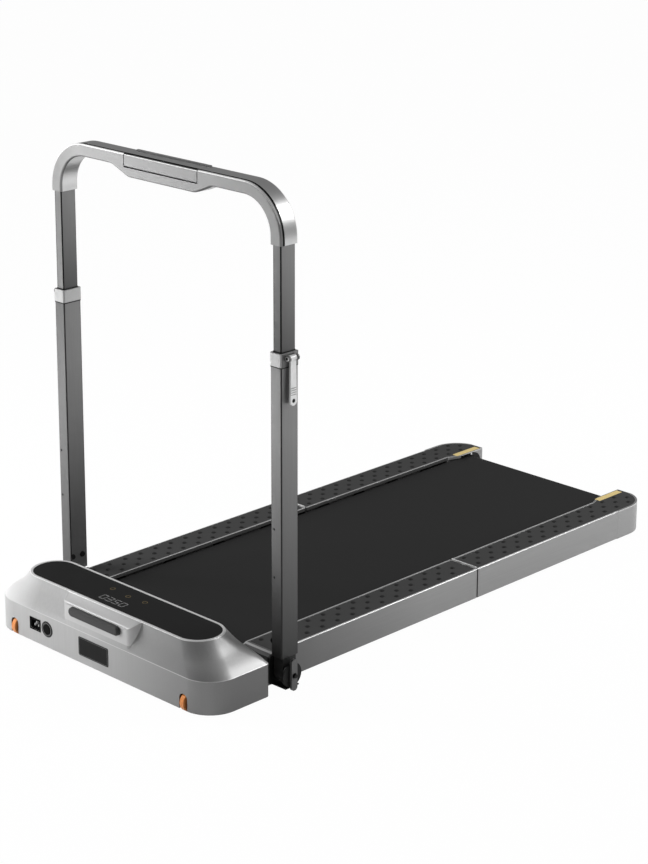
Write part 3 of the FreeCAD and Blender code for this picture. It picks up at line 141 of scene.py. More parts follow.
# Floor: a white sweep that shows the object's shadow.
# It looks white to the camera, and in reflections it is partly the white sweep and partly as it is lit.
class Number:
    """A value that a finish works out at each point, which takes part in Python sums."""

    def __init__(self, finish, socket):
        self.finish = finish
        self.socket = socket

    def sum(self, operation, first, second, clamp=False):
        settings = {"operation": operation, "use_clamp": clamp}
        return self.finish.node("ShaderNodeMath", settings, {0: first, 1: second})

    def __add__(self, other):
        return self.sum("ADD", self, other)

    def __sub__(self, other):
        return self.sum("SUBTRACT", self, other)

    def __rsub__(self, other):
        return self.sum("SUBTRACT", other, self)

    def __mul__(self, other):
        return self.sum("MULTIPLY", self, other)

    def __neg__(self):
        return self.sum("SUBTRACT", 0.0, self)

    def __gt__(self, other):
        return self.sum("GREATER_THAN", self, other)

    def __lt__(self, other):
        return self.sum("LESS_THAN", self, other)

    def __abs__(self):
        return self.sum("ABSOLUTE", self, 0.0)

    def held(self):
        """The value, kept between 0 and 1."""
        return self.sum("ADD", self, 0.0, True)

    __radd__ = __add__
    __rmul__ = __mul__


class Finish:
    """A material with one main shader: constants are set on its sockets, other nodes come from node()."""

    def __init__(self, name, constants):
        self.material = bpy.data.materials.new(name)
        self.material.use_nodes = True
        self.tree = self.material.node_tree
        self.shader = self.tree.nodes["Principled BSDF"]
        for socket, value in constants.items():
            self.shader.inputs[socket].default_value = value

    def node(self, kind, settings=None, inputs=None, output=0):
        sockets = {name: value.socket if isinstance(value, Number) else value
                   for name, value in (inputs or {}).items()}
        return Number(self, wired(self.tree, kind, settings, sockets, output))

    def feed(self, socket, value):
        self.tree.links.new(value.socket, self.shader.inputs[socket])


def tone(level, tint=(1, 1, 1)):
    """A colour from a grey level of 0 to 255 as it looks on a screen, with a tint on top."""
    share = level / 255
    linear = share / 12.92 if share < 0.04045 else ((share + 0.055) / 1.055) ** 2.4
    return (linear * tint[0], linear * tint[1], linear * tint[2], 1)


floor_reach = 40
floor_mesh = bpy.data.meshes.new("floor")
floor_corners = [(x * floor_reach, y * floor_reach, 0) for x, y in ((-1, -1), (1, -1), (1, 1), (-1, 1))]
floor_mesh.from_pydata(floor_corners, [], [(0, 1, 2, 3)])
floor = bpy.data.objects.new("floor", floor_mesh)
bpy.context.scene.collection.objects.link(floor)
sweep = Finish("white_sweep", {"Base Color": tone(242), "Roughness": 0.9, "Specular IOR Level": 0.1})
to_camera, to_gloss, to_glass = [sweep.node("ShaderNodeLightPath", output=name) for name in (
    "Is Camera Ray", "Is Glossy Ray", "Is Transmission Ray")]
white_share = 0.98
mirrored_share = 0.12
glow = sweep.node("ShaderNodeEmission", None, {"Color": (1, 1, 1, 1), "Strength": 1.0})
lit = Number(sweep, sweep.shader.outputs[0])
shown = sweep.node("ShaderNodeMixShader", None, {
    0: to_camera * white_share + (to_gloss + to_glass) * mirrored_share, 1: lit, 2: glow})
sweep.tree.links.new(shown.socket, sweep.tree.nodes["Material Output"].inputs["Surface"])
floor_mesh.materials.append(sweep.material)


# Chassis tray, wheel axles and transport wheels: a folded steel tray holds the motor and two orange wheels.
# The wheels turn on steel axles in the hood's slots and carry the pad when it is tipped up.
class Spot:
    """A point on a piece, in the piece's own axes: its place in metres and the way its surface leans."""

    def __init__(self, finish):
        self.x, self.y, self.z = self.parts(finish, "Object")
        self.lean_x, self.lean_y, self.lean_z = self.parts(finish, "Normal")

    def parts(self, finish, source):
        whole = finish.node("ShaderNodeTexCoord", output=source)
        return [finish.node("ShaderNodeSeparateXYZ", None, {0: whole}, axis) for axis in range(3)]


def between(finish, share, low, high):
    """A colour between two others, by a share that changes over the surface."""
    return finish.node("ShaderNodeMix", {"data_type": "RGBA"}, {0: share, 6: low, 7: high}, 2)


def ramp(value, start, slope):
    """A mask that rises from 0 at a start to 1."""
    return ((value - start) * slope).held()


def band(value, low, high, soft):
    """A mask that is 1 between two values and fades out over a soft width."""
    return ramp(value, low, 1 / soft) * ((high - value) * (1 / soft)).held()


def grained(name, levels, grain, rough, metallic=0.0, specular=0.5, stretch=(1, 1, 1), depth=0.0, marks=(),
            tints=((1, 1, 1), (1, 1, 1))):
    """A finish whose colour, gloss and relief follow one grain, with marks of other grey levels on top."""
    finish = Finish(name, {"Metallic": metallic, "Specular IOR Level": specular})
    place = finish.node("ShaderNodeTexCoord", output="Object")
    stretched = finish.node("ShaderNodeMapping", None, {"Vector": place, "Scale": stretch})
    speckle = finish.node("ShaderNodeTexNoise", None, {"Vector": stretched, "Scale": grain, "Detail": 3})
    low, high = [tone(level, tint) for level, tint in zip(levels, tints)]
    colour = between(finish, speckle, low, high)
    for mask, level in marks:
        colour = between(finish, mask(Spot(finish)), colour, tone(level))
    finish.feed("Base Color", colour)
    finish.feed("Roughness", rough[0] + speckle * (rough[1] - rough[0]))
    if depth:
        finish.feed("Normal", finish.node("ShaderNodeBump", None, {"Height": speckle, "Distance": depth}))
    return finish


def coat(finish, *names):
    """Give CAD nodes that stay as they are a better material."""
    for name in names:
        held = nodes[name].material_slots[0]
        held.link = "OBJECT"
        held.material = finish.material


weld_reach = 0.01 * MM
flat_angle = math.radians(0.5)


def copied(name):
    """A CAD node's mesh as one welded surface."""
    form = bmesh.new()
    form.from_mesh(nodes[name].data)
    bmesh.ops.remove_doubles(form, verts=form.verts, dist=weld_reach)
    bmesh.ops.dissolve_degenerate(form, edges=form.edges, dist=weld_reach)
    return form


def flattened(form):
    """Join the triangles of each flat face."""
    bmesh.ops.dissolve_limit(form, angle_limit=flat_angle, verts=form.verts, edges=form.edges)
    return form


def meshed(name, form, finishes):
    """A form as an object of the scene, with its finishes."""
    mesh = bpy.data.meshes.new(name)
    form.to_mesh(mesh)
    form.free()
    for finish in finishes:
        mesh.materials.append(finish.material)
    made = bpy.data.objects.new(name, mesh)
    bpy.context.scene.collection.objects.link(made)
    return made


def finished(name, form, finishes, body, slot, *replaced):
    """A piece from a form, which rides on a body and may stand for CAD nodes."""
    made = meshed(name, form, finishes)
    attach(made, body)
    if replaced:
        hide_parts(*replaced)
    return made


def ease(made, edge, crease=35, ridge=None):
    """Smooth shading, with a rounded edge wherever two faces meet at more than the crease angle."""
    made.data.shade_smooth()
    made.data.set_sharp_from_angle(angle=math.radians(ridge or crease))
    rounding = made.modifiers.new("edges", "BEVEL")
    rounding.width = edge
    rounding.segments = 3
    rounding.limit_method = "ANGLE"
    rounding.angle_limit = math.radians(crease)
    rounding.harden_normals = True
    return made


def dress(name, finish, slot, edge, ridge=None):
    """A finer copy of a CAD node, welded, smooth and with rounded edges, which stands in for it."""
    form = flattened(copied(name))
    made = finished(name + "_skin", form, [finish], nodes[name]["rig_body"], slot, name)
    return ease(made, edge, ridge=ridge)


sheet_black = grained("black_sheet", (24, 36), grain=300, rough=(0.45, 0.6), metallic=0.2, depth=0.05 * MM)
coat(sheet_black, "chassis_tray", "motor_cradle")
steel = grained("bright_steel", (165, 190), grain=200, rough=(0.22, 0.34), metallic=1)
coat(steel, "wheel_axles")
wheel_orange = grained("orange_tyre", (198, 214), grain=90, rough=(0.32, 0.42), depth=0.05 * MM,
                       tints=((1, 0.34, 0.09), (1, 0.38, 0.11)))
tyre_share = 0.78
for side in ("left", "right"):
    wheel = dress("wheel_" + side, wheel_orange, "wheel_orange", edge=1.2 * MM)
    wheel_low, wheel_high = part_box("wheel_" + side)
    wheel_middle = (wheel_low.x + wheel_high.x) / 2
    for vert in wheel.data.vertices:
        vert.co.x = wheel_middle + (vert.co.x - wheel_middle) * tyre_share

# Drive: a motor with its pulley, a ribbed belt up to the drive roller, and the controller in its box.
# All of it sits under the hood and is seen only from below.
motor_paint = grained("motor_paint", (70, 92), grain=150, rough=(0.4, 0.55), metallic=0.4)
coat(motor_paint, "motor_can")
plain_black = grained("black_plastic", (10, 18), grain=500, rough=(0.42, 0.55), specular=0.3,
                      depth=0.03 * MM)
coat(plain_black, "motor_controller", "drive_belt")
coat(steel, "motor_shaft", "motor_pulley", "roller_pulley", "roller_bearings", "tail_roller_axle")
roller_metal = grained("roller_steel", (120, 160), grain=80, rough=(0.3, 0.45), metallic=1,
                       stretch=(1, 12, 12))
coat(roller_metal, "drive_roller", "tail_roller")


# Hood: one moulded shell in silver paint, with a flared shoulder, a brow over the grip and wheel slots.
# It is clipped over the tray, its rim holds the display panel, and the paint has a fine upright brushing.
hood_low, hood_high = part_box("hood_shell")
hood_face, hood_top = hood_low.y, hood_high.z
rail_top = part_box("front_rail_right")[1].z
skirt_top = rail_top + 1 * MM
turn_slope = 1.2
front_start, front_slope = -20 * MM, 3.2
flare_start, flare_slope = 200 * MM, 9
lip_high = 1.5 * MM
brow_reach, brow_floor, brow_deep, brow_slope = 112 * MM, 92 * MM, 62 * MM, 90
ridge_below, ridge_above, ridge_soft = 0.4 * MM, 1.4 * MM, 0.6 * MM


def turned_right(spot):
    """Faces turned to the right, painted darker as shade."""
    return ramp(spot.lean_x, 0.0, turn_slope) * (spot.z < skirt_top)


def right_front(spot):
    """The right part of the front, also painted darker as shade."""
    forwards = ramp(-spot.lean_y, 0.0, turn_slope)
    return ramp(spot.x, front_start, front_slope) * forwards


def left_flare(spot):
    """The flared left end, painted lighter as a highlight where the light reaches first."""
    return ramp(-spot.x, flare_start, flare_slope) * (spot.z > skirt_top)


def rim_highlight(spot):
    """The lip round the display, with a painted highlight."""
    return spot.z > hood_top - lip_high


def brow_light(spot):
    """The brow over the grip, painted lighter as a highlight."""
    beside = ramp(brow_reach - abs(spot.x), 0.0, brow_slope)
    return beside * (spot.z > brow_floor) * (spot.y < hood_face + brow_deep)


def ridge_highlight(spot):
    """The ridge between the upright skirt and the flared shoulder, with a painted highlight."""
    return band(spot.z, skirt_top - ridge_below, skirt_top + ridge_above, ridge_soft)


# Painted light on the hood: painted shade on the right faces and the right of the front, painted highlights
# on the left flare, the brow, the display's lip and the skirt's ridge.
silver_paint = grained(
    "silver_paint", (176, 190), grain=260, rough=(0.4, 0.48), metallic=0.55, stretch=(1, 1, 0.03),
    depth=0.01 * MM,
    marks=[(turned_right, 122), (right_front, 138), (left_flare, 240), (brow_light, 194), (rim_highlight, 240),
           (ridge_highlight, 212)])
dress("hood_shell", silver_paint, "hood_silver", edge=0.8 * MM, ridge=16)

# Display: a flat pane of smoked acrylic that fills the hood's rim.
# Pale figures and three amber touch marks shine through from below.
smoked = grained("smoked_acrylic", (20, 26), grain=40, rough=(0.35, 0.42), specular=0.15)
dress("display_panel", smoked, "display_black", edge=0.5 * MM)
pane_low, pane_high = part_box("display_panel")
figures_start = Vector((-47 * MM, pane_low.y + 17 * MM, pane_high.z))
figure_wide, figure_deep, figure_gap, stroke = 13 * MM, 18 * MM, 7 * MM, 1.7 * MM
figure_film = 0.12 * MM
shown_digits = (0, 3, 5, 0)
segments = {
    "top": (0, 1, 1, 1), "upper_right": (1, 0.5, 1, 1), "lower_right": (1, 0, 1, 0.5),
    "bottom": (0, 0, 1, 0), "lower_left": (0, 0, 0, 0.5), "upper_left": (0, 0.5, 0, 1),
    "middle": (0, 0.5, 1, 0.5)}
unlit = {0: ("middle",), 3: ("lower_left", "upper_left"), 5: ("upper_right", "lower_left")}


def slab(form, low, high):
    """A block between two corners, added to a form."""
    middle = (Vector(low) + Vector(high)) / 2
    span = Vector(high) - Vector(low)
    bmesh.ops.create_cube(form, size=1, matrix=Matrix.Translation(middle) @ Matrix.Diagonal((*span, 1)))


figures = bmesh.new()
half_stroke = Vector((stroke / 2, stroke / 2, 0))
for place, digit in enumerate(shown_digits):
    corner = figures_start + Vector((place * (figure_wide + figure_gap), 0, 0))
    for segment, (x0, y0, x1, y1) in segments.items():
        if segment in unlit[digit]:
            continue
        start = corner + Vector((x0 * figure_wide, y0 * figure_deep, 0))
        end = corner + Vector((x1 * figure_wide, y1 * figure_deep, figure_film))
        slab(figures, start - half_stroke, end + half_stroke)
figure_light = grained("figure_light", (120, 150), grain=60, rough=(0.4, 0.5))
finished("display_figures", figures, [figure_light], "front_frame", "display_black")


def on_circle(radius, sides, start=0.0):
    """Points evenly round a circle, as pairs of coordinates."""
    angles = [start + math.tau * step / sides for step in range(sides)]
    return [(radius * math.cos(angle), radius * math.sin(angle)) for angle in angles]


def bridged(form, ring, following):
    """Faces between two rings of points, added to a form."""
    for step in range(len(ring)):
        after = (step + 1) % len(ring)
        form.faces.new((ring[step], ring[after], following[after], following[step]))


def turned(form, profile, sides, place):
    """A ring turned from a profile of radii and levels; place turns (u, v, level) into a point."""
    rings = []
    for radius, level in profile:
        rings.append([form.verts.new(place(u, v, level)) for u, v in on_circle(radius, sides)])
    for ring, following in zip(rings, rings[1:] + rings[:1]):
        bridged(form, ring, following)
    bmesh.ops.recalc_face_normals(form, faces=form.faces)


keys = bmesh.new()
key_radius, key_line, key_sides = 5.5 * MM, 0.9 * MM, 24
key_profile = [(key_radius, 0), (key_radius, figure_film), (key_radius - key_line, figure_film),
               (key_radius - key_line, 0)]
key_places = ((-60 * MM, 67 * MM), (-6 * MM, 62 * MM), (42 * MM, 66 * MM))
for key_x, key_y in key_places:
    turned(keys, key_profile, key_sides,
           lambda u, v, level: (key_x + u, pane_low.y + key_y + v, pane_high.z + level))
amber = grained("amber_marks", (120, 140), grain=60, rough=(0.4, 0.5),
                tints=((1, 0.72, 0.3), (1, 0.76, 0.34)))
finished("display_keys", keys, [amber], "front_frame", "display_black")


# Rating plate: a thin bare plate of black aluminium with round corners, glued to the hood's front.
# A fine pale line runs round it inside the edge.
def rounded_plate(low, high, corner, steps=6):
    """The outline of a rectangle with round corners, as pairs of coordinates."""
    points = []
    for turn, (x, y) in enumerate((
            (high[0] - corner, high[1] - corner), (low[0] + corner, high[1] - corner),
            (low[0] + corner, low[1] + corner), (high[0] - corner, low[1] + corner))):
        for step in range(steps + 1):
            angle = math.tau / 4 * (turn + step / steps)
            points.append((x + corner * math.cos(angle), y + corner * math.sin(angle)))
    return points


def raised(form, outline, base, top, place):
    """A prism on an outline, from a base to a top level; place turns (u, v, level) into a point."""
    low = [form.verts.new(place(u, v, base)) for u, v in outline]
    high = [form.verts.new(place(u, v, top)) for u, v in outline]
    form.faces.new(low[::-1])
    form.faces.new(high)
    bridged(form, low, high)


plate_low, plate_high, plate_corner = (-54 * MM, 26 * MM), (39 * MM, 67 * MM), 3.5 * MM
plate_thick, plate_edge = 0.8 * MM, 0.25 * MM
line_inset, line_half, line_soft = 2.2 * MM, 0.4 * MM, 0.2 * MM
plate = bmesh.new()
raised(plate, rounded_plate(plate_low, plate_high, plate_corner), 0, plate_thick,
       lambda u, v, level: (u, hood_face - level, v))
plate_half = [(high - low) / 2 for low, high in zip(plate_low, plate_high)]
plate_middle = [(high + low) / 2 for low, high in zip(plate_low, plate_high)]


def plate_border(spot):
    """A thin line inside the plate's edge, with square corners."""
    inset_x = plate_half[0] - abs(spot.x - plate_middle[0])
    inset_z = plate_half[1] - abs(spot.z - plate_middle[1])
    nearest = inset_x.sum("MINIMUM", inset_x, inset_z)
    return band(nearest, line_inset - line_half, line_inset + line_half, line_soft)


plate_black = grained("plate_black", (14, 22), grain=200, rough=(0.35, 0.45), specular=0.15,
                      marks=[(plate_border, 120)])
ease(finished("rating_plate", plate, [plate_black], "front_frame", "black_plastic"), plate_edge)

# Grip: a dark rubber bar under the brow, to lift the pad by.
# It is pushed into a pocket in the brow and stands a little proud of it.
grip_rubber = grained("grip_rubber", (54, 66), grain=400, rough=(0.5, 0.62), specular=0.3, depth=0.06 * MM)
dress("grip_bar", grip_rubber, "grip_rubber", edge=2 * MM)

# Mains inlet, its pins, and the round rocker switch: black plastic pressed into the hood's front.
# The inlet's pins are bright metal, and the switch's bezel has a lighter outer rim.
touch = 0.1 * MM
switch_black = grained("switch_black", (5, 10), grain=500, rough=(0.45, 0.55), specular=0.06)
dress("power_inlet", switch_black, "black_plastic", edge=0.5 * MM)
inlet_low, inlet_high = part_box("power_inlet")
flange_wide, flange_proud = 2.6 * MM, 0.8 * MM
flange_low, flange_high = inlet_low - Vector.Fill(3, flange_wide), inlet_high + Vector.Fill(3, flange_wide)
flange = bmesh.new()
for low_x, low_z, high_x, high_z in (
        (flange_low.x, flange_low.z, inlet_low.x, flange_high.z),
        (inlet_high.x, flange_low.z, flange_high.x, flange_high.z),
        (inlet_low.x, inlet_high.z, inlet_high.x, flange_high.z),
        (inlet_low.x, flange_low.z, inlet_high.x, inlet_low.z)):
    slab(flange, (low_x, hood_face - flange_proud, low_z), (high_x, hood_face, high_z))
finished("inlet_flange", flange, [switch_black], "front_frame", "black_plastic")
pin_metal = grained("pin_metal", (206, 220), grain=200, rough=(0.3, 0.4), metallic=0.3)
pins = copied("inlet_pins")
pins_front, pins_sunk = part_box("inlet_pins")[0].y, 3.5 * MM
for vert in pins.verts:
    if vert.co.y < pins_front + touch:
        vert.co.y = inlet_low.y + pins_sunk
finished("inlet_pins_skin", pins, [pin_metal], "front_frame", "bright_steel", "inlet_pins")
bezel_low, bezel_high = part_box("switch_bezel")
bezel_middle = (bezel_low + bezel_high) / 2
bezel_radius = (bezel_high.x - bezel_low.x) / 2
bezel_rim = 2.2 * MM


def bezel_edge(spot):
    """The outer rim of the round bezel."""
    across = spot.x - bezel_middle.x
    upwards = spot.z - bezel_middle.z
    reach = across.sum("POWER", across * across + upwards * upwards, 0.5)
    return reach > bezel_radius - bezel_rim


bezel_black = grained("bezel_black", (10, 18), grain=500, rough=(0.42, 0.55), specular=0.3,
                      marks=[(bezel_edge, 84)])
dress("switch_bezel", bezel_black, "black_plastic", edge=0.4 * MM)
dress("power_rocker", switch_black, "black_plastic", edge=0.5 * MM)
ring_sides, ring_wide, ring_proud, ring_slope, ring_lap = 40, 3 * MM, 0.9 * MM, 0.6 * MM, 0.2 * MM
ring_inner, ring_outer = bezel_radius - ring_lap, bezel_radius + ring_wide
switch_collar = bmesh.new()
turned(switch_collar, [(ring_inner, 0), (ring_outer, 0), (ring_outer - ring_slope, ring_proud),
                       (ring_inner, ring_proud)], ring_sides,
       lambda u, v, level: (bezel_middle.x + u, hood_face - level, bezel_middle.z + v))
finished("switch_collar", switch_collar, [plain_black], "front_frame", "black_plastic")

# Side rails: grey anodised extrusions in two halves that meet at the fold; the front ones slope to the hood.
# Their long top edges are polished and carry a painted highlight.
edge_band, flat_top, wall_lean = 2.2 * MM, 0.985, 0.3
rail_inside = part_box("front_rail_right")[0].x + 1 * MM
rim_wide = 2 * MM
shade_start, shade_slope = 50 * MM, 2.2


def edge_highlights(spot):
    """The narrow band where the sides turn over to the top, painted light as a highlight on the polished
    edge.
    """
    return (spot.lean_z < flat_top) * (spot.z > rail_top - edge_band)


def inner_walls(spot):
    """The low wall that faces the belt."""
    return (abs(spot.x) < rail_inside) * (spot.lean_z < wall_lean)


def towards_hood(spot):
    """The front part of the rails, which stands in the hood's shade."""
    return ramp(-spot.y, shade_start, shade_slope)


def inner_rim(spot):
    """The strip of the top beside the belt, painted lighter."""
    return (abs(spot.x) < rail_inside + rim_wide) * (spot.lean_z > wall_lean)


rail_metal = grained(
    "rail_aluminium", (150, 166), grain=60, rough=(0.36, 0.46), metallic=0.6, stretch=(12, 0.15, 12),
    marks=[(towards_hood, 112), (edge_highlights, 206), (inner_walls, 92), (inner_rim, 216)])
for half in ("front", "rear"):
    for side in ("left", "right"):
        dress(f"{half}_rail_{side}", rail_metal, "rail_grey", edge=0.9 * MM)

# Deck boards on cross members with rubber cushions, belly pans below and rubber feet.
# The boards are laminated wood, the members are welded square tube, and the pans are thin black sheet.
board = grained("deck_laminate", (70, 96), grain=30, rough=(0.5, 0.65), stretch=(6, 1, 6),
                tints=((1, 0.8, 0.55), (1, 0.82, 0.6)))
coat(board, "front_deck", "rear_deck")
coat(sheet_black, "front_cross_members", "rear_cross_members", "front_belly_pan", "rear_belly_pan")
cushion = grained("cushion_rubber", (26, 36), grain=300, rough=(0.6, 0.75), depth=0.05 * MM)
coat(cushion, "front_cushions", "rear_cushions", "front_feet", "rear_feet")

# Walking belt: one endless loop of black belting with a fine woven face, stretched over both rollers.
seam = (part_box("front_hinge_leaves")[1].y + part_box("rear_hinge_leaves")[0].y) / 2
belt_low, belt_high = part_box("front_belt")
belt_thick = 1.8 * MM
belt_outer = (belt_high.z - belt_low.z) / 2
belt_middle = (belt_high.z + belt_low.z) / 2
drive_y, tail_y = belt_low.y + belt_outer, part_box("rear_belt")[1].y - belt_outer
bend_reach, bend_steps, arc_steps = 40 * MM, 20, 24
belt_crease = math.radians(40)


def belt_path(radius):
    """Points round the loop at one distance from the rollers' axes, close together where the deck folds."""
    runs = [seam + bend_reach * (2 * step / bend_steps - 1) for step in range(bend_steps + 1)]
    points = [(y, belt_middle + radius) for y in [drive_y] + runs]
    for step in range(arc_steps + 1):
        angle = math.pi / 2 - math.pi * step / arc_steps
        points.append((tail_y + radius * math.cos(angle), belt_middle + radius * math.sin(angle)))
    points += [(y, belt_middle - radius) for y in runs[::-1]]
    for step in range(arc_steps):
        angle = -math.pi / 2 - math.pi * step / arc_steps
        points.append((drive_y + radius * math.cos(angle), belt_middle + radius * math.sin(angle)))
    return points


belt = bmesh.new()
belt_inner = belt_outer - belt_thick
loops = []
for radius, x in ((belt_outer, belt_low.x), (belt_outer, belt_high.x), (belt_inner, belt_high.x),
                  (belt_inner, belt_low.x)):
    loops.append([belt.verts.new((x, y, z)) for y, z in belt_path(radius)])
for loop, following in zip(loops, loops[1:] + loops[:1]):
    bridged(belt, loop, following)
bmesh.ops.recalc_face_normals(belt, faces=belt.faces)
belt_cloth = grained("belt_cloth", (31, 38), grain=900, rough=(0.5, 0.62), specular=0.25, depth=0.04 * MM)
walking_belt = meshed("walking_belt", belt, [belt_cloth])
walking_belt.data.shade_smooth()
walking_belt.data.set_sharp_from_angle(angle=belt_crease)
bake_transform(walking_belt)
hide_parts("front_belt", "rear_belt")


# Treads: rubber strips let into the rails' tops, with three staggered rows of dark round studs.
# The studs are moulded on as low domes, darker than the strip.
class Pattern:
    """A Geometry Nodes tree with named sizes that turns a few points into one mesh."""

    def __init__(self, name, floats=(), counts=(), vectors=()):
        self.tree = bpy.data.node_groups.new(name, "GeometryNodeTree")
        self.sockets = self.tree.interface
        self.socket("Points", "INPUT", "NodeSocketGeometry")
        self.socket("Mesh", "OUTPUT", "NodeSocketGeometry")
        kinds = {"NodeSocketFloat": floats, "NodeSocketInt": counts, "NodeSocketVector": vectors}
        self.keys = {size: self.socket(size, "INPUT", kind)
                     for kind, sizes in kinds.items() for size in sizes}
        self.given = self.tree.nodes.new("NodeGroupInput").outputs
        self.result = self.tree.nodes.new("NodeGroupOutput").inputs

    def socket(self, name, way, kind):
        return self.sockets.new_socket(name, in_out=way, socket_type=kind).identifier

    def add(self, kind, settings=None, inputs=None):
        return wired(self.tree, kind, settings, inputs)

    def set_on(self, points, form):
        """A form on each point, as one mesh."""
        placed = self.add("GeometryNodeInstanceOnPoints", None, {"Points": points, "Instance": form})
        return self.add("GeometryNodeRealizeInstances", None, {0: placed})

    def rows(self, axis):
        """A row of points from each given point along an axis, at the pitch."""
        step = self.add("ShaderNodeCombineXYZ", None, {axis: self.given["Pitch"]})
        row = self.add("GeometryNodeMeshLine", {"mode": "OFFSET"}, {
            "Count": self.given["Count"], "Offset": step})
        return self.set_on(self.given["Points"], row)

    def cone(self):
        """A low cone with a flat crown."""
        return self.add("GeometryNodeMeshCone", None, {
            "Vertices": self.given["Sides"], "Radius Top": self.given["Crown"],
            "Radius Bottom": self.given["Radius"], "Depth": self.given["Height"]})

    def close(self, points, form, finish):
        """End the tree with a form on each point, in one finish."""
        whole = self.set_on(points, form)
        painted = self.add("GeometryNodeSetMaterial", None, {"Geometry": whole, "Material": finish.material})
        self.tree.links.new(painted, self.result["Mesh"])

    def grow(self, name, points, sizes, body, slot, place=Matrix()):
        """Run the tree on some points, turn the result into place and let it ride on a body."""
        starts = bpy.data.meshes.new(name + "_starts")
        starts.from_pydata(points, [], [])
        made = bpy.data.objects.new(name, starts)
        bpy.context.scene.collection.objects.link(made)
        modifier = made.modifiers.new("pattern", "NODES")
        modifier.node_group = self.tree
        for size, value in sizes.items():
            modifier[self.keys[size]] = value
        mesh = bpy.data.meshes.new_from_object(made.evaluated_get(bpy.context.evaluated_depsgraph_get()))
        made.modifiers.remove(modifier)
        mesh.transform(place)
        made.data = mesh
        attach(made, body)


stud_rubber = grained("stud_rubber", (20, 28), grain=500, rough=(0.5, 0.62), specular=0.3)
stud_rows = Pattern("stud_rows", floats=("Pitch", "Radius", "Crown", "Height"), counts=("Count", "Sides"))
stud_rows.close(stud_rows.rows("Y"), stud_rows.cone(), stud_rubber)
stud_pitch = 45 * MM
stud_sizes = {"Count": 13, "Pitch": stud_pitch, "Radius": 5.4 * MM, "Crown": 4.2 * MM, "Height": 1.2 * MM,
              "Sides": 14}
stud_clear = 0.3 * MM
row_places = [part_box("front_rail_right")[0].x + inset for inset in (16 * MM, 37 * MM, 58 * MM)]
tread_rubber = grained("tread_rubber", (57, 67), grain=600, rough=(0.55, 0.7), specular=0.25,
                       depth=0.05 * MM)
for half in ("front", "rear"):
    strip = copied(half + "_treads")
    above = [vert for vert in strip.verts if vert.co.z > rail_top + stud_clear]
    bmesh.ops.delete(strip, geom=above, context="VERTS")
    bmesh.ops.holes_fill(strip, edges=[edge for edge in strip.edges if edge.is_boundary], sides=0)
    flattened(strip)
    bmesh.ops.recalc_face_normals(strip, faces=strip.faces)
    tread = finished(
        half + "_tread_strips", strip, [tread_rubber], half + "_frame", "tread_rubber", half + "_treads")
    ease(tread, edge=0.3 * MM)
    tread_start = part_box(half + "_treads")[0].y
    starts = []
    for side in (-1, 1):
        for row, place in enumerate(row_places):
            starts.append((side * place, tread_start + stud_pitch / 2 * (2 if row % 2 else 1), rail_top))
    stud_rows.grow(half + "_tread_studs", starts, stud_sizes, half + "_frame", "tread_rubber")

# Fold hinge: steel leaves on pins across the rails' ends, screwed on under the treads.
# Their ground edges show as one bright line across each tread, and the rest is painted dark as the shade in
# the fold's seam.
shown_edge = 0.5 * MM


def hinge_seam_shade(spot):
    """All of the hinge but its top edge, painted dark as the shade in the fold's seam."""
    return spot.z < rail_top - shown_edge


bright_line = grained("bright_line", (196, 212), grain=200, rough=(0.3, 0.4), metallic=0.6,
                      marks=[(hinge_seam_shade, 50)])
coat(bright_line, "front_hinge_leaves", "rear_hinge_leaves", "hinge_pins")

# Rear caps: moulded grey ends that carry the tail roller on a screwed axle, painted to match the rails.
# A bare gold strip is stuck on each one's top, beside the belt.
cap_inner, cap_rear = 213 * MM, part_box("rear_caps")[1].y
bay_centre, bay_reach, bay_floor, bay_rise = cap_rear - 46 * MM, 34 * MM, 50 * MM, 26 * MM
bay_depth = 1 * MM


def roller_bay_shadow(spot):
    """The opening in a cap's inner wall where the belt runs round the roller, painted near black as its
    shadow.
    """
    rear = spot.y - bay_centre
    rear = rear.sum("MAXIMUM", rear, 0.0) * (1 / bay_reach)
    up = (spot.z - bay_floor) * (1 / bay_rise)
    return (rear * rear + up * up < 1.0) * (abs(spot.x) < cap_inner + bay_depth)


def facing(place, axis, degrees=90):
    """A place whose upright direction is turned about an axis."""
    return Matrix.Translation(place) @ Matrix.Rotation(math.radians(degrees), 4, axis)


def cones(name, finish):
    """A pattern that sets one low cone on each point."""
    pattern = Pattern(name, floats=("Radius", "Crown", "Height"), counts=("Sides",))
    pattern.close(pattern.given["Points"], pattern.cone(), finish)
    return pattern


# The caps' top edges carry the painted highlight, and the roller's bay is painted near black as its shadow.
cap_paint = grained("cap_paint", (150, 162), grain=500, rough=(0.36, 0.46), metallic=0.5,
                    marks=[(edge_highlights, 206), (roller_bay_shadow, 10)])
dress("rear_caps", cap_paint, "cap_grey", edge=1.2 * MM)
label_low, label_high = (cap_inner + 3 * MM, cap_rear - 96 * MM), (cap_inner + 19 * MM, cap_rear - 12 * MM)
label_corner, label_thick = 1 * MM, 0.3 * MM
gold_foil = grained("gold_foil", (208, 240), grain=130, rough=(0.3, 0.42),
                    tints=((1, 0.76, 0.3), (1, 0.8, 0.36)))
labels = bmesh.new()
washers = cones("pin_washers", pin_metal)
screw_y, screw_z = cap_rear - 47 * MM, 73 * MM
axle_screw = {"Radius": 3.2 * MM, "Crown": 2.4 * MM, "Height": 1.2 * MM, "Sides": 24}
for side, sign in (("left", -1), ("right", 1)):
    raised(labels, rounded_plate(label_low, label_high, label_corner)[::sign], 0, label_thick,
           lambda u, v, level: (sign * u, v, rail_top + level))
    inner_wall = facing((sign * cap_inner, 0, 0), "Y", -90 * sign)
    washers.grow("axle_screw_" + side, [(sign * screw_z, screw_y, 0)], axle_screw, "rear_frame",
                 "bright_steel", inner_wall)
finished("cap_labels", labels, [gold_foil], "rear_frame", "cap_grey")

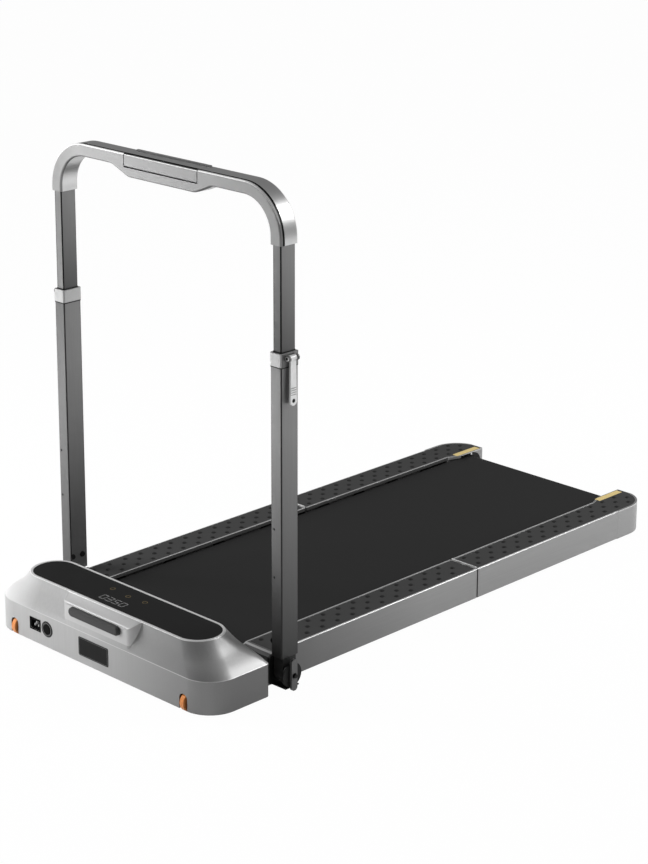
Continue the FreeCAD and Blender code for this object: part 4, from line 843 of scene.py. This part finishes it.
# Post feet: black brackets with pivot pins and sprung lock levers.
# The brackets are welded steel, bolted to the rails' outer sides.
bracket_black = grained("bracket_black", (14, 22), grain=300, rough=(0.4, 0.55), specular=0.3,
                        depth=0.03 * MM)
dress("post_brackets", bracket_black, "frame_black", edge=1 * MM)
pivots = copied("pivot_pins")
pivot_low, pivot_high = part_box("pivot_pins")
pivot_middle = (pivot_low + pivot_high) / 2
lever_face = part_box("lock_lever_right")[1].x
head_share = 0.45
for vert in pivots.verts:
    if abs(vert.co.x) > lever_face - touch:
        vert.co.yz = pivot_middle.yz + (vert.co.yz - pivot_middle.yz) * head_share
pivot_pins = finished("pivot_pins_skin", pivots, [plain_black], "front_frame", "frame_black", "pivot_pins")
ease(pivot_pins, edge=0.3 * MM)
lever_grey = grained("lever_grey", (96, 112), grain=200, rough=(0.35, 0.45), metallic=0.5,
                     stretch=(6, 6, 0.4))
for side in ("left", "right"):
    dress("lock_lever_" + side, lever_grey, "bright_steel", edge=0.8 * MM)

# Outer posts: rectangular tubes of brushed aluminium on steel tongues.
# Their corners are painted darker, and each front carries two small sunk screws.
corner_lean, corner_slope = 0.06, 12
foot_shade, foot_fade, far_foot_share = 1.05, 1.9, 0.35
facing_front, far_front_share = -0.5, 0.6


def dark_corners(spot):
    """Where the surface turns from one face of the tube to the next."""
    return ramp(abs(spot.lean_x) * abs(spot.lean_y), corner_lean, corner_slope)


def towards_foot(spot):
    """The lower part of the posts, which stands in the deck's shade."""
    near_side = far_foot_share + (spot.x > 0.0) * (1 - far_foot_share)
    return (foot_shade - spot.z * foot_fade).held() * near_side


def left_front_lighting(spot):
    """The fronts of the left posts, given another grey as painted light: darker on the outer posts and
    lighter on the inner ones.
    """
    return (spot.x < 0.0) * (spot.lean_y < facing_front) * far_front_share


post_metal = grained(
    "post_aluminium", (124, 142), grain=90, rough=(0.34, 0.44), metallic=0.75, stretch=(10, 10, 0.12),
    marks=[(left_front_lighting, 98), (towards_foot, 58), (dark_corners, 52)])
coat(sheet_black, "post_tongues")
heads = cones("screw_heads", plain_black)
near_low, near_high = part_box("outer_post_right")
post_across, post_y = (near_low.x + near_high.x) / 2, (near_low.y + near_high.y) / 2
post_screw = {"Radius": 2.6 * MM, "Crown": 2 * MM, "Height": 0.5 * MM, "Sides": 16}
foot_bolt = {"Radius": 6.5 * MM, "Crown": 5 * MM, "Height": 3 * MM, "Sides": 18}
bolt_high, bolt_front, bolt_gap = 110 * MM, post_y - 18 * MM, 27 * MM
screw_points = []
for side, sign, screw_aside, screw_heights in (
        ("left", -1, -8 * MM, (352 * MM, 250 * MM)), ("right", 1, -6 * MM, (350 * MM, 248 * MM))):
    dress("outer_post_" + side, post_metal, "post_grey", edge=0.5 * MM)
    screw_points += [(sign * post_across + screw_aside, height, 0) for height in screw_heights]
    bolt_points = [(sign * bolt_high, bolt_front, 0), (sign * bolt_high, bolt_front + bolt_gap, 0)]
    inner_face = facing((sign * near_low.x, 0, 0), "Y", -90 * sign)
    heads.grow("foot_bolts_" + side, bolt_points, foot_bolt, "handrail_lower", "black_plastic", inner_face)
front_face = facing((0, near_low.y, 0), "X")
heads.grow("post_screws", screw_points, post_screw, "handrail_lower", "black_plastic", front_face)

# Collars and quick-release levers: cast silver clamps on the posts' tops, each between two black gaskets.
# Their ears and outer sides are darker, and a nut on a washer holds the lever's pin.
collar_low, collar_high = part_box("post_collars")
ear_start = near_high.x + 0.9 * MM


def collar_side(spot):
    """The outer sides and the ears, where the lever sits."""
    return abs(spot.x) > ear_start


collar_silver = grained("collar_silver", (174, 188), grain=300, rough=(0.32, 0.42), metallic=0.45,
                        marks=[(collar_side, 112)])
dress("post_collars", collar_silver, "collar_silver", edge=0.8 * MM)
coat(steel, "clamp_pins")
gaskets = bmesh.new()
gasket_proud, gasket_high, gasket_corner = 0.7 * MM, 2.4 * MM, 2.5 * MM
outer_tube, inner_tube = (30 * MM, 46 * MM), (22.5 * MM, 38.5 * MM)
for centre in (-post_across, post_across):
    for base, (wide, deep) in ((collar_low.z - gasket_high, outer_tube), (collar_high.z, inner_tube)):
        half_wide, half_deep = wide / 2 + gasket_proud, deep / 2 + gasket_proud
        gasket = rounded_plate((centre - half_wide, post_y - half_deep),
                               (centre + half_wide, post_y + half_deep), gasket_corner)
        raised(gaskets, gasket, base, base + gasket_high, lambda u, v, level: (u, v, level))
finished("collar_gaskets", gaskets, [plain_black], "handrail_lower", "black_plastic")

lever_silver = grained("lever_silver", (222, 234), grain=300, rough=(0.32, 0.42), metallic=0.2)
blade_low, blade_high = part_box("clamp_lever_right")
blade_half = (blade_high.y - blade_low.y) / 2
cam_radius, blade_thick, tip_out = 6 * MM, 4.5 * MM, 7 * MM
cam_x, cam_z = blade_high.x - 8.5 * MM, blade_high.z - cam_radius
cam_lap, cam_sides, cam_taper, cam_shift = 2 * MM, 32, 0.2, 1.6 * MM
hole_z, hole_radius, hole_sides = blade_low.z + 9.6 * MM, 4.2 * MM, 24
disc_depth_share, disc_seat_share = 0.6, 0.55
tip_steps = 16
outline = bpy.data.curves.new("lever_outline", "CURVE")
outline.dimensions = "2D"
outline.fill_mode = "BOTH"
outline.extrude = 0.5
tip_points = on_circle(blade_half, 2 * tip_steps, math.pi)[:tip_steps + 1]
blade_points = [(u, v + blade_low.z + blade_half) for u, v in tip_points]
blade_points += [(blade_half, cam_z + cam_lap), (-blade_half, cam_z + cam_lap)]
hole_points = [(u, v + hole_z) for u, v in on_circle(hole_radius, hole_sides)]
for points in (blade_points, hole_points):
    line = outline.splines.new("POLY")
    line.points.add(len(points) - 1)
    line.use_cyclic_u = True
    for point, (u, v) in zip(line.points, points):
        point.co = (u, v, 0, 1)
drawing = bpy.data.objects.new("lever_outline", outline)
bpy.context.scene.collection.objects.link(drawing)
blade_mesh = bpy.data.meshes.new_from_object(drawing.evaluated_get(bpy.context.evaluated_depsgraph_get()))
bpy.data.objects.remove(drawing)
rib_dark = grained("rib_shade", (150, 160), grain=300, rough=(0.4, 0.5), metallic=0.2)
ribs = Pattern("lever_ribs", floats=("Pitch",), counts=("Count",), vectors=("Size",))
ribs.close(ribs.rows("Z"), ribs.add("GeometryNodeMeshCube", None, {"Size": ribs.given["Size"]}), rib_dark)
rib_inset = 2 * MM
rib_sizes = {"Count": 4, "Pitch": 4.5 * MM, "Size": (0.8 * MM, 2 * (blade_half - rib_inset), 1.4 * MM)}
rib_z = blade_low.z + 22 * MM


def blade_inside(z):
    """How far out the blade's inner face stands at a height."""
    return cam_x - blade_thick / 2 + (tip_out - blade_thick) * (cam_z - z) / (cam_z - blade_low.z)


washer_high = 0.8 * MM
clamp_washer = {"Radius": 5.2 * MM, "Crown": 4.6 * MM, "Height": washer_high, "Sides": 24}
clamp_nut = {"Radius": 3 * MM, "Crown": 2.6 * MM, "Height": 1 * MM, "Sides": 6}
ear_front = facing((0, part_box("clamp_pins")[0].y, 0), "X")
washers.grow("clamp_washers", [(-cam_x, cam_z, 0), (cam_x, cam_z, 0)], clamp_washer, "handrail_lower",
             "bright_steel", ear_front)
heads.grow("clamp_nuts", [(-cam_x, cam_z, washer_high), (cam_x, cam_z, washer_high)], clamp_nut,
           "handrail_lower", "black_plastic", ear_front)
for side, sign in (("left", -1), ("right", 1)):
    lever = bmesh.new()
    lever.from_mesh(blade_mesh)
    for vert in lever.verts:
        u, v, w = vert.co
        height = (v - blade_low.z) / (cam_z - blade_low.z)
        u = u * (1 - cam_taper * height) + cam_shift * height
        vert.co = (sign * (blade_inside(v) + (w + 0.5) * blade_thick), post_y + u, v)
    bmesh.ops.remove_doubles(lever, verts=lever.verts, dist=weld_reach)
    # A black disc in the lever's hole is painted shadow: it darkens the hole as the shade seen through it.
    disc_x = blade_inside(hole_z) + blade_thick * disc_seat_share
    hole_shadow_disc = bmesh.ops.create_cone(
        lever, cap_ends=True, segments=hole_sides, radius1=hole_radius, radius2=hole_radius,
        depth=blade_thick * disc_depth_share, matrix=facing((sign * disc_x, post_y, hole_z), "Y"))
    for face in {face for vert in hole_shadow_disc["verts"] for face in vert.link_faces}:
        face.material_index = 1
    bmesh.ops.create_cone(
        lever, cap_ends=True, segments=cam_sides, radius1=cam_radius, radius2=cam_radius,
        depth=2 * blade_half, matrix=facing((sign * cam_x, post_y, cam_z), "X"))
    bmesh.ops.recalc_face_normals(lever, faces=lever.faces)
    name = "clamp_lever_" + side
    body = nodes[name]["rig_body"]
    blade = finished(name + "_skin", lever, [lever_silver, plain_black], body, "collar_silver", name)
    ease(blade, edge=0.5 * MM)
    rib_start = (sign * (blade_inside(rib_z) + blade_thick), post_y, rib_z)
    ribs.grow(name + "_ribs", [rib_start], rib_sizes, body, "collar_silver")

# Inner posts: darker aluminium tubes that slide in the outer ones and are held by the collars.
# A black strip runs down each edge of their fronts.
inner_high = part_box("inner_posts")[1]
inner_half = inner_high.x - post_across
strip_wide, strip_lean = 2.8 * MM, 0.2
collar_fade = 4.5


def black_strips(spot):
    """Bands along the edges of the front and rear faces."""
    offset = abs(abs(spot.x) - post_across)
    return (offset > inner_half - strip_wide) * (abs(spot.lean_y) > strip_lean)


def towards_collar(spot):
    """The lower part of the inner posts, painted darker towards the collars."""
    return (1.0 - (spot.z - collar_high.z) * collar_fade).held()


inner_metal = grained(
    "inner_aluminium", (126, 144), grain=90, rough=(0.32, 0.42), metallic=0.75, stretch=(10, 10, 0.12),
    marks=[(towards_collar, 84), (left_front_lighting, 170), (black_strips, 14)])
dress("inner_posts", inner_metal, "inner_post_dark", edge=0.4 * MM)

# Handrail bar: a moulded bow over the inner posts in two shells, silver in front and gunmetal behind.
# A black groove runs between the shells, and the recess for the phone flap is black inside.
bar_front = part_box("handrail_bar")[0].y
flap_low, flap_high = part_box("phone_flap")
groove_start, groove_end, groove_depth = bar_front + 4.8 * MM, bar_front + 10.4 * MM, 1.4 * MM
sleeve_clear, outward_lean = 1 * MM, 0.1
recess_clear, front_skin = 0.5 * MM, 0.3 * MM
bar = flattened(copied("handrail_bar"))
for cut_y in (groove_start, groove_end):
    bmesh.ops.bisect_plane(bar, geom=bar.verts[:] + bar.edges[:] + bar.faces[:], dist=weld_reach / 10,
                           plane_co=(0, cut_y, 0), plane_no=(0, 1, 0))
bar.normal_update()


def in_groove(face):
    """Faces on the bow's outer side between the two shells, apart from the sleeves' ends and insides."""
    middle = face.calc_center_median()
    beside_post = abs(abs(middle.x) - post_across) < inner_half + sleeve_clear
    in_sleeve = beside_post and middle.z < inner_high.z + sleeve_clear
    outwards = face.normal.z > outward_lean or face.normal.x * math.copysign(1, middle.x) > outward_lean
    return groove_start < middle.y < groove_end and outwards and not in_sleeve


covers = [face for face in bar.faces if in_groove(face)]
sunk = bmesh.ops.extrude_face_region(bar, geom=covers)["geom"]
sunk_verts = [part for part in sunk if isinstance(part, bmesh.types.BMVert)]
sunk_faces = {part for part in sunk if isinstance(part, bmesh.types.BMFace)}
for vert in sunk_verts:
    inwards = sum((face.normal for face in vert.link_faces if face in sunk_faces), Vector())
    vert.co -= inwards.normalized() * groove_depth
bmesh.ops.delete(bar, geom=covers, context="FACES_ONLY")
silver_shell, groove_black, gunmetal_shell = range(3)
groove_faces = {face for vert in sunk_verts for face in vert.link_faces}
for face in bar.faces:
    middle = face.calc_center_median()
    behind_flap = abs(middle.x) < flap_high.x + recess_clear and middle.z > flap_low.z - recess_clear
    if face in groove_faces or behind_flap and bar_front + front_skin < middle.y < groove_start:
        face.material_index = groove_black
    else:
        face.material_index = silver_shell if middle.y < groove_start else gunmetal_shell

edge_forwards, edge_soft, edge_upwards = (0.2, 0.93), 0.1, 0.3
leg_start, leg_slope, leg_share = 260 * MM, 14, 0.7
under_offset, under_slope = 0.15, 1.8
half_start, half_slope = -100 * MM, 1.8


def lit_edge(spot):
    """The rounded edge along the top of the front shell, with a painted highlight."""
    return band(-spot.lean_y, *edge_forwards, edge_soft) * (spot.lean_z > edge_upwards)


def left_leg(spot):
    """The left end of the bow's front, painted darker as shade."""
    return ramp(-spot.x, leg_start, leg_slope) * leg_share


def underside(spot):
    """The rounded lower edge of the front shell, which the light does not reach."""
    return (-spot.lean_z * under_slope - under_offset).held()


def right_half(spot):
    """The right part of the bow's front, painted darker as shade."""
    return ramp(spot.x, half_start, half_slope)


# Painted light on the bow's front: painted shade on its right half, left leg and underside, and a painted
# highlight along its top edge.
bar_silver = grained("bar_silver", (168, 180), grain=400, rough=(0.4, 0.5), metallic=0.3,
                     marks=[(right_half, 148), (left_leg, 142), (underside, 92), (lit_edge, 255)])
bar_gunmetal = grained("bar_gunmetal", (206, 216), grain=400, rough=(0.3, 0.4), metallic=0.9)
bow = finished("handrail_bar_skin", bar, [bar_silver, plain_black, bar_gunmetal], "handrail_upper",
               "bar_silver", "handrail_bar")
ease(bow, edge=0.3 * MM, crease=40)
bow.modifiers.new("even_shading", "WEIGHTED_NORMAL").keep_sharp = True

# Phone flap: a silver lid in the bar's face that turns up on a pin to hold a phone against the ledge.
# It is moulded a little smaller than its recess, so a black seam shows round it.
flap = flattened(copied("phone_flap"))
seam_below, seam_beside = 2.4 * MM, 1.4 * MM
for vert in flap.verts:
    if vert.co.z < flap_low.z + touch:
        vert.co.z += seam_below
    if abs(vert.co.x) > flap_high.x - touch:
        vert.co.x -= math.copysign(seam_beside, vert.co.x)
lid = finished("phone_flap_skin", flap, [bar_silver], "phone_flap", "flap_silver", "phone_flap")
ease(lid, edge=1.6 * MM)
coat(steel, "flap_pin")
ledge_grey = grained("ledge_grey", (122, 136), grain=700, rough=(0.45, 0.55), metallic=0.4)
dress("phone_ledge", ledge_grey, "flap_silver", edge=0.8 * MM)
